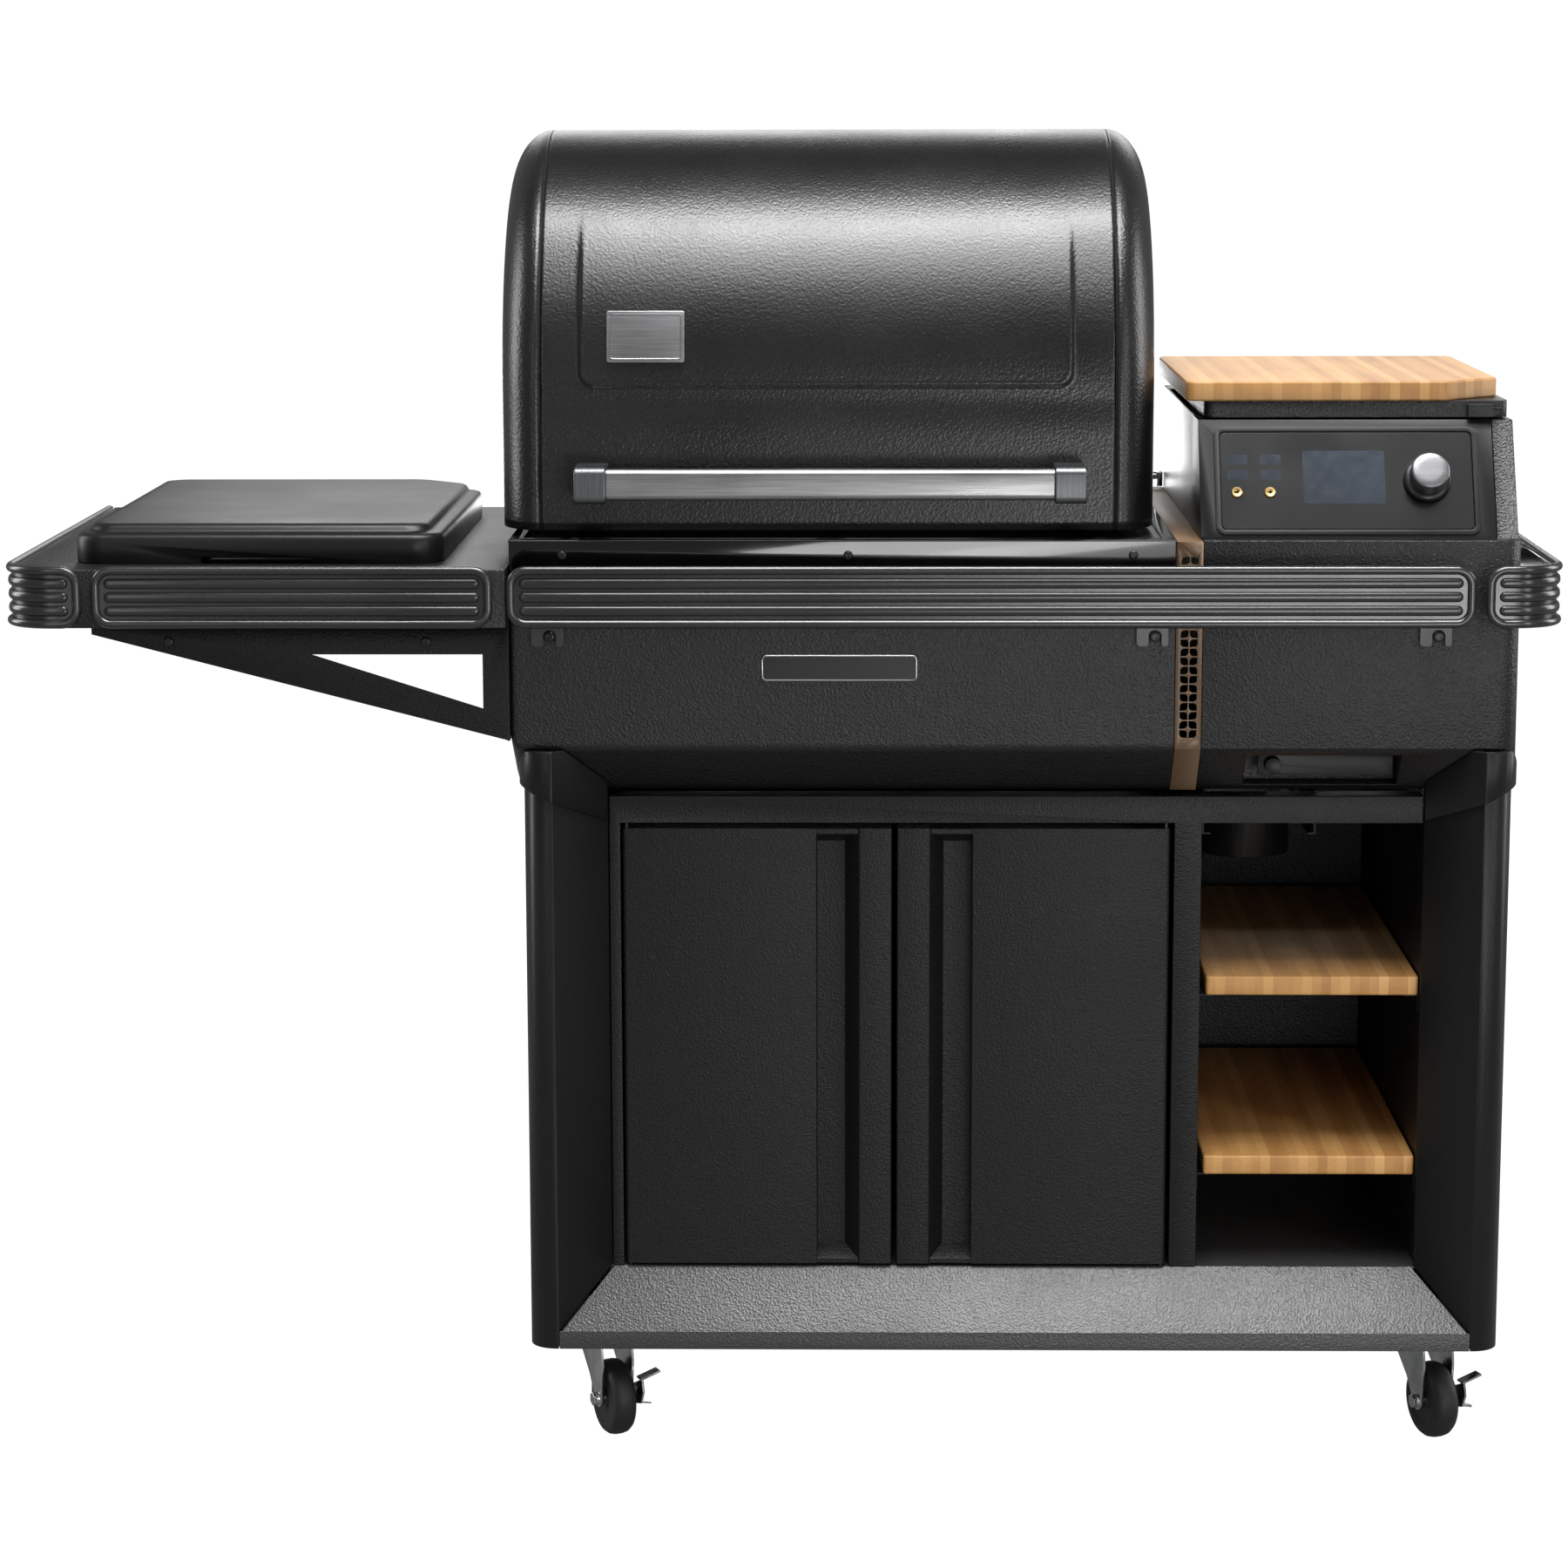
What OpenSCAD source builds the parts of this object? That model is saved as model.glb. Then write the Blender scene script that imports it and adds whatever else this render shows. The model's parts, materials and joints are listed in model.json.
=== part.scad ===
// Full-size pellet smoker grill on a cabinet cart.
// X runs to the right, Y to the back and Z up; the origin is under the middle of its outer box.

/* [Overall] */
// Width over the corner rails
total_w = 1499; // [1497:1:1503]
// Depth from the front rails to the back of the exhaust duct
total_d = 635; // [633:1:639]
// Sheet metal thickness of the cart and the casings
sheet = 2; // [1.6:0.1:2.2]

/* [Cart] */
// Left face of the cart
cart_left = -252; // [-253:1:-251]
// Right face of the cart
cart_right = 708; // [707:1:708]
// Underside of the cart
cart_z = 103; // [103:1:104]
// Width of a leg's flat front, corner included
post_w = 29; // [28:1:29]
// Radius of a leg's outer corner
post_r = 26; // [22:1:27]
// Width of the slanted face inside each leg
bevel_w = 51; // [50:1:51]
// Depth of the slanted faces
bevel_d = 50; // [49:1:50]
// Top of the cabinet floor
floor_top = 175; // [175:1:176]

/* [Doors and shelves] */
// Width of the left door
left_door_w = 265; // [262:1:265]
// Width of the right door
right_door_w = 268; // [264:1:268]
// Thickness of a door
door_t = 26; // [24:1:26]
// Top of each bamboo shelf in the open bay
shelf_tops = [286, 469];
// Thickness of the bamboo boards
board_t = 19; // [17:1:19]

/* [Casters] */
// Radius of a caster wheel
wheel_r = 38; // [36:1:38]
// Width of a caster wheel
wheel_w = 24; // [22:1:24]
// Distance from the swivel axis to the axle
trail = 20; // [18:1:21]
// Angle at which the left and right casters rest
caster_turn = [25, 21];

/* [Firebox and lid] */
// Left end of the firebox
box_left = -263; // [-264:1:-262]
// Right end of the firebox
box_right = 379; // [378:1:379]
// Outer radius of the lid's barrel
lid_r = 245; // [243:1:245]
// Height of the barrel's centre line
lid_cz = 1050; // [1049:1:1051]
// Bottom edge of the lid
lid_z = 915; // [915:1:916]
// Left seam of the barrel
seam_left = -234; // [-235:1:-233]
// Right seam of the barrel
seam_right = 322; // [321:1:323]
// How far each domed lid end stands out
dome = 40; // [36:1:41]

/* [Hopper] */
// Left face of the hopper
hop_left = 405; // [405:1:406]
// Right face of the hopper
hop_right = 711; // [710:1:711]
// Top of the bamboo board on the hopper lid
board_top = 1055; // [1055:1:1056]
// Radius of the control knob
knob_r = 18.5; // [17:0.5:19]
// Inner radius of a probe jack
jack_r = 1.75; // [1.6:0.05:1.9]

/* [Shelf and rails] */
// Top of the side shelf
shelf_z = 884; // [883:1:884]
// Lowest edge of the rails
rail_z = 828; // [828:1:829]
// Height of the rails
rail_h = 60; // [58:1:60]
// Outer radius of the rail corners
rail_r = 50; // [48:1:54]

/* [Hidden] */
$fn = 48;

// Cart
front = -285;
back = 262;
cart_mid = (cart_left + cart_right) / 2;
inner_left = cart_left + post_w + bevel_w;
inner_right = cart_right - post_w - bevel_w;
lip_top = 121;
face_y = front + bevel_d;
header_z = [625, 652];
mullion = [384, 411];
cap_proud = 4.5;
wall_left = -176;
wall_right = 630;
// Doors: the pivot is in the rounded front corner of the hinge side
door_y = face_y - 3;
door_z = [177.5, 620];
left_door_x = -158;
right_door_x = 380;
pivot_r = 1.9;
corner_r = 4;
// Firebox outline
body_front = -278;
body_bend = 706;
body_floor = 658;
under_y = -228;
end_slant = 10;
body_top = 907;
rim_top = 909;
hinge_y = 254;
hinge_z = 920;
duct_x = [-180, 300];
// Feed line
auger_z = 712;
tube_r = 24;
fan_y = 185;
fan_z = 735;
pot_x = 58;
keg = [470, -40];
// Control face: leans back from its bottom edge
face_foot = [-264, 908];
face_lean = 27.6;
hop_top = 1018;
glass_x = [424, 666];
glass_z = [10, 110];
knob_at = [622.5, 60];
jack_xs = [439, 471];
jack_z = 47.4;
hop_hinge = [214, 1026];
board_x = [392, 700];
board_y = [-207, 167];
// Rails
rail_x = total_w / 2;
rail_y = -total_d / 2;
bead = 4.5;
rail_back = 275;
rail_in = 6.5;
cover_x = [-687, -329];
cover_y = [-262, 222];
tab_xs = [-224, 359, 631];

// Box between two opposite corners
module block(lo, hi) {
  translate(lo) cube(hi - lo);
}

// Prism of a YZ outline from x0 to x1
module along_x(x0, x1) {
  translate([x0, 0, 0]) rotate([90, 0, 90]) linear_extrude(x1 - x0) children();
}

// Prism of an XZ outline from y0 to y1
module along_y(y0, y1) {
  translate([0, y1, 0]) rotate([90, 0, 0]) linear_extrude(y1 - y0) children();
}

// Rectangle with round corners between two opposite corners
module round_rect(lo, hi, r) {
  translate([lo.x + r, lo.y]) square([hi.x - lo.x - 2 * r, hi.y - lo.y]);
  translate([lo.x, lo.y + r]) square([hi.x - lo.x, hi.y - lo.y - 2 * r]);
  for (x = [lo.x + r, hi.x - r], y = [lo.y + r, hi.y - r]) translate([x, y]) circle(r);
}

// Rod along X
module rod_x(x0, x1, y, z, r) {
  translate([x0, y, z]) rotate([0, 90, 0]) cylinder(h = x1 - x0, r = r);
}

// Rod along Y
module rod_y(y0, y1, x, z, r) {
  translate([x, y1, z]) rotate([90, 0, 0]) cylinder(h = y1 - y0, r = r);
}

// Places what is drawn for the left side of the cart on the right side
module cart_mirrored() {
  translate([2 * cart_mid, 0, 0]) mirror([1, 0, 0]) children();
}

// ---- Cart ----

// Space that the firebox and hopper need above the cart
module body_clearance() {
  along_x(cart_left - 40, cart_right + 40)
    polygon([[front - 20, body_bend - 1.5], [body_front, body_bend - 1.5],
      [under_y, body_floor - 1.5], [back + 60, body_floor - 1.5],
      [back + 60, body_bend + 90], [front - 20, body_bend + 90]]);
}

module sill_outline(drop) {
  polygon([[front, lip_top], [face_y, floor_top], [face_y, floor_top - drop],
    [front + sheet, lip_top - drop + sheet], [front, lip_top - drop + sheet]]);
}

module base_frame() color([0.10, 0.10, 0.11]) {
  x0 = cart_left + post_w + 0.5;
  x1 = cart_right - post_w - 0.5;
  rear = back - 6;
  block([x0, front, cart_z], [x1, rear, cart_z + sheet]);
  block([x0, front, cart_z], [x1, front + sheet, lip_top]);
  difference() {
    along_x(x0, x1) sill_outline(3);
    for (side = [0, 1]) {
      if (side == 0) sill_mitre();
      else cart_mirrored() sill_mitre();
    }
  }
  block([wall_left, face_y, floor_top - sheet], [wall_right + sheet, rear, floor_top]);
  for (x = [wall_left + 6, cart_mid, wall_right - 8])
    block([x, face_y + 8, cart_z], [x + sheet, rear, floor_top]);
  block([wall_left, rear - sheet, cart_z], [wall_right, rear, floor_top]);
}

// Wedge behind a leg's slanted face, cut from the sill's end
module sill_mitre() {
  x = cart_left + post_w;
  translate([0, 0, cart_z + sheet]) linear_extrude(floor_top)
    polygon([[x - 20, front - 1], [x + 2, front - 1], [x + bevel_w + 2.5, face_y + 0.02],
      [x - 20, face_y + 0.02]]);
}

// Plan outline of the left side panel grown outwards by g, t thick and d deep
module leg_outline(g, t, d) {
  x0 = cart_left - g;
  y0 = front - g;
  cx = cart_left + post_r;
  cy = front + post_r;
  xb = cart_left + post_w;
  translate([x0, cy]) square([t, d - post_r]);
  intersection() {
    difference() {
      translate([cx, cy]) circle(post_r + g);
      translate([cx, cy]) circle(post_r + g - t);
    }
    translate([x0, y0]) square([cx - x0, cy - y0]);
  }
  translate([cx, y0]) square([post_w - post_r, t]);
  polygon([[xb, y0], [xb + bevel_w, y0 + bevel_d], [xb + bevel_w, y0 + bevel_d + t],
    [xb, y0 + t]]);
}

module side_panel() {
  xb = cart_left + post_w;
  difference() {
    translate([0, 0, cart_z]) linear_extrude(body_bend - 2 - cart_z) {
      leg_outline(0, sheet, back - front);
      translate([cart_left, back - sheet]) square([30, sheet]);
    }
    body_clearance();
    along_x(xb, xb + bevel_w + 1)
      polygon([[front - 1, cart_z - 1], [front - 1, lip_top], [front, lip_top],
        [face_y, floor_top], [face_y + 12, floor_top], [face_y + 12, cart_z - 1]]);
  }
}

module left_side_panel() color([0.11, 0.11, 0.12]) side_panel();

module right_side_panel() color([0.11, 0.11, 0.12]) cart_mirrored() side_panel();

module leg_cap() {
  difference() {
    translate([0, 0, cart_z + 500]) linear_extrude(body_bend - 2 - cart_z - 500)
      leg_outline(cap_proud, cap_proud - 0.3, 95);
    body_clearance();
    along_y(front - 10, front + 110)
      polygon([[cart_left - 10, cart_z + 490], [cart_left - 10, 672], [inner_left + 1, 628],
        [inner_left + 1, cart_z + 490]]);
  }
}

module leg_caps() color([0.09, 0.09, 0.10]) {
  leg_cap();
  cart_mirrored() leg_cap();
}

module cabinet_shell() color([0.08, 0.08, 0.09]) {
  top = body_floor - 4;
  block([cart_left + 4, back - 2 * sheet, cart_z + 4], [cart_right - 4, back - sheet, top]);
  block([wall_left, face_y + 4, floor_top], [wall_left + sheet, back - 2 * sheet, top]);
  block([wall_right, face_y + 4, floor_top], [wall_right + sheet, back - 2 * sheet, top]);
}

// Header channel, mullion, left stile and the wall between the cupboard and the open bay
module face_frame() color([0.10, 0.10, 0.11]) {
  y = face_y - 1;
  x0 = inner_left + 1;
  x1 = inner_right - 1;
  block([x0, y, header_z[0]], [x1, y + sheet, header_z[1]]);
  for (z = [header_z[0], header_z[1] - sheet]) block([x0, y, z], [x1, y + 30, z + sheet]);
  block([x0, y, floor_top], [left_door_x - 2, y + sheet, header_z[1]]);
  block([mullion[0], y, floor_top], [mullion[1], y + sheet, header_z[1]]);
  block([mullion[0], y, floor_top], [mullion[0] + sheet, y + 30, header_z[1]]);
  difference() {
    block([mullion[1] - sheet, y, floor_top], [mullion[1], back - 2 * sheet, header_z[1]]);
    block([mullion[0], keg.y - 26, 616], [mullion[1] + 1, keg.y + 26, header_z[1] + 1]);
  }
}

// Door with its hinge side at X = 0 and its front at Y = 0
module door(w) {
  h = door_z[1] - door_z[0];
  g = w - 74;
  skin = 2;
  depth = door_t - 5;
  difference() {
    linear_extrude(h) {
      translate([corner_r, 0]) square([w - corner_r, door_t]);
      translate([0, corner_r]) square([w, door_t - corner_r]);
      translate([corner_r, corner_r]) circle(corner_r);
    }
    translate([0, 0, 6]) linear_extrude(h - 12)
      polygon([[g, -1], [g, depth], [g + 28, depth], [g + 42, 0], [g + 42, -1]]);
    for (p = [[10, g - 3], [g + 45, w - 3]])
      block([p[0], skin, 3], [p[1], door_t + 1, h - 3]);
    translate([corner_r, corner_r, -1]) cylinder(h = 14, r = pivot_r + 0.08);
    translate([corner_r, corner_r, h - 11]) cylinder(h = 12, r = pivot_r + 0.08);
  }
}

module left_door() color([0.12, 0.12, 0.13])
  translate([left_door_x, door_y, door_z[0]]) door(left_door_w);

module right_door() color([0.12, 0.12, 0.13])
  translate([right_door_x, door_y, door_z[0]]) mirror([1, 0, 0]) door(right_door_w);

module bay_shelves() color([0.78, 0.58, 0.33])
  for (z = shelf_tops)
    translate([0, 0, z - board_t]) linear_extrude(board_t)
      round_rect([mullion[1] + 7, face_y + 10], [wall_right - 2, back - 24], 4);

// Shelf cleats, the keg's rails and the grease chute above it
module inner_brackets() color([0.35, 0.35, 0.36]) {
  for (z = shelf_tops - [board_t, board_t]) {
    block([mullion[1], face_y + 16, z - sheet], [mullion[1] + 16, back - 30, z]);
    block([mullion[1], face_y + 16, z - 18], [mullion[1] + sheet, back - 30, z]);
    block([wall_right - 16, face_y + 16, z - sheet], [wall_right, back - 30, z]);
    block([wall_right - sheet, face_y + 16, z - 18], [wall_right, back - 30, z]);
  }
  for (side = [-1, 1]) {
    x = keg.x + side * 56;
    block([min(x, x - side * 8.5), -200, 607.5], [max(x, x - side * 8.5), 60, 609.5]);
    difference() {
      block([min(x, x - side * 2), -200, 607.5], [max(x, x - side * 2), 60, body_floor - 1]);
      block([x - 3, keg.y - 21, 619], [x + 3, keg.y + 21, body_floor]);
    }
  }
  difference() {
    block([350, keg.y - 20, 620], [keg.x + 22, keg.y + 20, body_floor - 1]);
    block([352, keg.y - 18, 622], [keg.x + 20, keg.y + 18, body_floor]);
    translate([keg.x, keg.y, 610]) cylinder(h = 20, r = 14);
  }
}

// ---- Casters ----

caster_ys = [-217, 212];
caster_xs = [-180.5, 643];

module at_caster(i, j) {
  translate([caster_xs[i], caster_ys[j], 0]) rotate([0, 0, caster_turn[i]]) children();
}

module caster_plate() {
  block([-35, -25, cart_z - 3], [35, 25, cart_z]);
  translate([0, 0, cart_z - 7]) cylinder(h = 5, r = 21);
  translate([0, 0, cart_z - 15]) cylinder(h = 12, r = 5);
  translate([0, 0, cart_z - 18]) cylinder(h = 6.7, r = 8);
}

module caster_plates() color([0.75, 0.76, 0.78])
  for (i = [0, 1], j = [0, 1])
    translate([caster_xs[i], caster_ys[j], 0]) caster_plate();

// Fork with its axle; the swivel axis is at the origin
module fork() {
  top = cart_z - 7.5;
  cheek = 15;
  difference() {
    union() {
      translate([0, 0, top - 3]) cylinder(h = 3, r = 19);
      block([-cheek - 2.5, -trail - 10, top - 3], [cheek + 2.5, 26, top]);
    }
    translate([0, 0, top - 4]) cylinder(h = 5, r = 5.08);
  }
  for (x = [-cheek - 2.5, cheek]) {
    along_x(x, x + 2.5)
      polygon([[26, top], [-trail - 10, top], [-trail - 12, 76], [-trail - 9, wheel_r],
        [-trail + 9, wheel_r], [2, 58], [26, top - 14]]);
    rod_x(x, x + 2.5, -trail, wheel_r, 9);
  }
  rod_x(-cheek - 2.5, cheek + 8, -trail, wheel_r, 4);
  rod_x(-cheek - 5.5, -cheek - 2.5, -trail, wheel_r, 6.5);
  rod_x(cheek + 5.5, cheek + 8.5, -trail, wheel_r, 6.5);
}

// Wheel with a round-shouldered tyre and a dished hub
module wheel() {
  translate([0, -trail, wheel_r]) rotate([0, 90, 0]) translate([0, 0, -wheel_w / 2])
    rotate_extrude() difference() {
      union() {
        translate([4.08, 0]) square([wheel_r - 9.08, wheel_w]);
        translate([4.08, 5]) square([wheel_r - 4.08, wheel_w - 10]);
        for (y = [5, wheel_w - 5]) translate([wheel_r - 5, y]) circle(5);
      }
      for (y = [-1, wheel_w - 3]) translate([11, y]) square([13, 4]);
    }
}

// Side brake lever with an upper and a lower tab
module pedal() {
  x = 18;
  arm = -trail - 30;
  difference() {
    union() {
      along_x(x, x + 2)
        polygon([[-trail + 3, wheel_r + 9], [arm, wheel_r + 24], [arm - 4, wheel_r + 12],
          [arm + 2, wheel_r - 2], [-trail - 2, wheel_r - 9]]);
      rod_x(x, x + 2, -trail, wheel_r, 9.4);
    }
    rod_x(x - 1, x + 3, -trail, wheel_r, 4.08);
  }
  translate([x, arm, wheel_r + 22]) rotate([0, -18, 0]) cube([22, 12, 2]);
  translate([x, arm + 1, wheel_r - 1]) rotate([0, 12, 0]) cube([11, 8, 2]);
}

steel = [0.75, 0.76, 0.78];
tyre = [0.07, 0.07, 0.07];
module caster_fork_fl() color(steel) at_caster(0, 0) fork();
module caster_fork_fr() color(steel) at_caster(1, 0) fork();
module caster_fork_rl() color(steel) at_caster(0, 1) fork();
module caster_fork_rr() color(steel) at_caster(1, 1) fork();
module caster_wheel_fl() color(tyre) at_caster(0, 0) wheel();
module caster_wheel_fr() color(tyre) at_caster(1, 0) wheel();
module caster_wheel_rl() color(tyre) at_caster(0, 1) wheel();
module caster_wheel_rr() color(tyre) at_caster(1, 1) wheel();
module brake_pedal_left() color(steel) at_caster(0, 0) pedal();
module brake_pedal_right() color(steel) at_caster(1, 0) pedal();

// ---- Firebox ----

// Cross-section of the firebox and hopper casing, drawn in by g
module body_outline(g, top) {
  polygon([[body_front + g, top], [body_front + g, body_bend + 0.4 * g],
    [under_y + 0.4 * g, body_floor + g], [240 - 0.4 * g, body_floor + g],
    [back - g, body_floor + 22 + 0.4 * g], [back - g, top]]);
}

// Region right of the firebox's left end, whose lower corner slants inwards
module left_end(g) {
  along_y(front - 50, back + 50)
    polygon([[box_left + g, body_top + 5], [box_left + g, body_bend],
      [box_left + end_slant + g, body_floor - 1], [box_right + 1, body_floor - 1],
      [box_right + 1, body_top + 5]]);
}

module firebox_shell() color([0.11, 0.11, 0.12]) {
  difference() {
    intersection() {
      along_x(box_left, box_right) body_outline(0, body_top);
      left_end(0);
    }
    intersection() {
      along_x(box_left + sheet, box_right - sheet) body_outline(sheet, body_top + 1);
      left_end(sheet + 0.1);
    }
    rod_x(box_right - 5, box_right + 1, 0, auger_z, tube_r + 0.5);
    rod_x(box_right - 5, box_right + 1, fan_y, fan_z, 16);
    translate([366, keg.y, body_floor - 1]) cylinder(h = 5, r = 9);
    block([duct_x[0] + 20, back - 5, 750], [duct_x[1] - 20, back + 1, 860]);
  }
}

module firebox_liner() color([0.22, 0.21, 0.20]) {
  difference() {
    along_x(box_left + 11, box_right - 11) body_outline(14, body_top - 2);
    along_x(box_left + 13, box_right - 13) body_outline(16, body_top);
    rod_x(box_right - 16, box_right - 8, 0, auger_z, tube_r + 0.5);
    translate([355, keg.y, body_floor + 10]) cylinder(h = 10, r = 9);
    block([duct_x[0] + 20, back - 20, 750], [duct_x[1] - 20, back - 8, 860]);
  }
}

module firebox_rim() color([0.05, 0.05, 0.06]) {
  difference() {
    block([box_left, body_front - 2.2, body_top], [box_right, back, rim_top]);
    block([box_left + 13, body_front + 18, body_top - 1], [box_right - 13, back - 18, rim_top + 1]);
  }
  block([box_left + 1, body_front - 2.2, shelf_z - 4], [box_right - 1, body_front - 0.2, body_top]);
}

module firepot() color([0.30, 0.29, 0.28]) {
  difference() {
    translate([pot_x, 0, 674]) cylinder(h = 76, r = 52);
    translate([pot_x, 0, 677]) cylinder(h = 76, r = 49);
    rod_x(pot_x + 40, pot_x + 60, 0, auger_z, tube_r + 0.4);
    rod_y(-60, -40, pot_x, 694, 5.4);
  }
  rod_y(-130, -42, pot_x, 694, 5);
}

module heat_baffle() color([0.33, 0.32, 0.31]) {
  block([-190, -170, 772], [310, 170, 774]);
  for (y = [-170, 168]) block([-190, y, 758], [310, y + 2, 774]);
  for (x = [-150, 268], y = [-160, 158]) block([x, y, 674], [x + 2, y + 2, 772]);
}

module drip_tray() color([0.30, 0.30, 0.31]) {
  difference() {
    along_y(-205, 190)
      polygon([[-235, 824], [350, 800], [350, 812], [348, 812], [348, 802.2], [-233, 826.2],
        [-233, 836], [-235, 836]]);
    translate([340, keg.y, 790]) cylinder(h = 30, r = 6);
  }
  for (y = [-207, 190]) block([-235, y, 800], [350, y + 2, 836]);
}

// Wire grate with a frame and rods along Y
module grate(x0, x1, y0, y1, z, pitch) {
  r = 3;
  $fn = 8;
  for (y = [y0, y1]) rod_x(x0, x1, y, z, 4);
  count = floor((x1 - x0) / pitch);
  for (i = [0:count]) rod_y(y0, y1, x0 + i * (x1 - x0) / count, z, r);
}

module cooking_grates() color([0.62, 0.62, 0.63]) {
  grate(-243, 359, -228, 218, 870, 25);
  grate(-220, 308, -140, 165, 988, 24);
  grate(-220, 308, -80, 150, 1088, 24);
  for (x = [-220, 308], y = [-80, 150])
    translate([x, y, 868]) cylinder(h = 220, r = 4);
}

module grease_keg() color([0.42, 0.42, 0.43])
  translate([keg.x, keg.y, 562]) rotate_extrude() {
    square([46, 2]);
    translate([44, 0]) square([2, 52]);
    translate([44, 48]) square([6, 4]);
  }

module exhaust_duct() color([0.10, 0.10, 0.11]) {
  y1 = total_d / 2;
  difference() {
    block([duct_x[0], back, 700], [duct_x[1], y1, 885]);
    block([duct_x[0] + 2, back - 1, 702], [duct_x[1] - 2, y1 - 2, 883]);
    for (i = [0:13])
      block([duct_x[0] + 24 + 32 * i, y1 - 5, 720], [duct_x[0] + 40 + 32 * i, y1 + 1, 860]);
    block([duct_x[0] + 20, back + 12, 699], [duct_x[1] - 20, y1 - 12, 703]);
  }
}

// Lid rod in its three ears, and the hopper lid's pin in its two ears
module hinge_hardware() color([0.55, 0.56, 0.58]) {
  rod_x(-250, 404, hinge_y, hinge_z, 4);
  for (x = [-250, 328, 398])
    block([x, hinge_y - 7, x > 390 ? body_top + 2 : rim_top],
      [x + 6, hinge_y + 8, hinge_z + 4]);
  rod_x(438, 676, hop_hinge.x, hop_hinge.y, 3);
  for (x = [438, 670])
    block([x, hop_hinge.x - 7, hop_top], [x + 6, hop_hinge.x + 7, hop_hinge.y + 4]);
}

// ---- Lid ----

// Arch cross-section of the lid with radius r, down to height z
module arch_outline(r, z) {
  translate([0, lid_cz]) intersection() {
    circle(r);
    translate([-r, 0]) square([2 * r, r]);
  }
  translate([-r, z]) square([2 * r, lid_cz - z + 0.01]);
}

module lid_shell() color([0.09, 0.09, 0.10]) {
  difference() {
    union() {
      along_x(seam_left, seam_right) arch_outline(lid_r, lid_z);
      for (x = [-225, 30, 285]) {
        rod_x(x, x + 30, hinge_y, hinge_z, 9);
        block([x, lid_r - 1, lid_z], [x + 30, hinge_y, hinge_z + 6]);
      }
    }
    along_x(seam_left - 1, seam_right + 1) arch_outline(lid_r - sheet, lid_z - 1);
    rod_x(seam_left, seam_right, hinge_y, hinge_z, 4.08);
  }
}

// Half of the domed end's section: radius across, outward distance up
module dome_section(a) {
  intersection() {
    union() {
      square([lid_r - dome, a]);
      translate([lid_r - dome, 0]) circle(a);
    }
    square([lid_r + 1, a + 1]);
  }
}

// Domed end that stands out along +Z of its own frame, h tall below the barrel's centre line
module dome_solid(a, h) {
  rotate_extrude(angle = 180) dome_section(a);
  rotate([90, 0, 0]) linear_extrude(h) {
    dome_section(a);
    mirror([1, 0, 0]) dome_section(a);
  }
}

module dome_shell() {
  difference() {
    dome_solid(dome, lid_cz - lid_z);
    translate([0, 0, -0.01]) dome_solid(dome - sheet, lid_cz - lid_z + 1);
  }
}

module lid_ends() color([0.09, 0.09, 0.10]) {
  translate([seam_right, 0, lid_cz]) rotate([90, 0, 90]) dome_shell();
  translate([seam_left, 0, lid_cz]) mirror([1, 0, 0]) rotate([90, 0, 90]) dome_shell();
}

module lid_liner() color([0.25, 0.24, 0.23]) {
  r = lid_r - 7;
  difference() {
    along_x(seam_left + 2, seam_right - 2) arch_outline(r, lid_z + 2);
    along_x(seam_left + 4, seam_right - 4) arch_outline(r - 2, lid_z + 1);
  }
}

module handle_bar() color([0.72, 0.73, 0.74])
  along_x(-167.5, 261) round_rect([-293, 948], [-277, 978], 4);

module handle_brackets() color([0.42, 0.43, 0.44])
  for (x = [-198, 261])
    along_x(x, x + 30.5) round_rect([-297, 945], [-lid_r - 0.1, 980], 5);

module badge_plate() color([0.66, 0.67, 0.68])
  translate([-131, 0, lid_cz]) rotate([-12, 0, 0])
    along_y(-lid_r - 2.8, -lid_r - 0.3) round_rect([-37.5, -25], [37.5, 25], 2);

// ---- Hopper ----

module tilted(x) {
  translate([x, face_foot.x, face_foot.y]) rotate([-face_lean, 0, 0]) children();
}

// Outline of the housing behind the control face
module wedge_outline(g) {
  foot = face_foot.x + g * 1.1;
  rise = (hop_top - face_foot.y) * tan(face_lean);
  polygon([[foot, face_foot.y + g], [foot + rise - 0.5 * g, hop_top - g],
    [-150 - g, hop_top - g], [-150 - g, face_foot.y + g]]);
}

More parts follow.
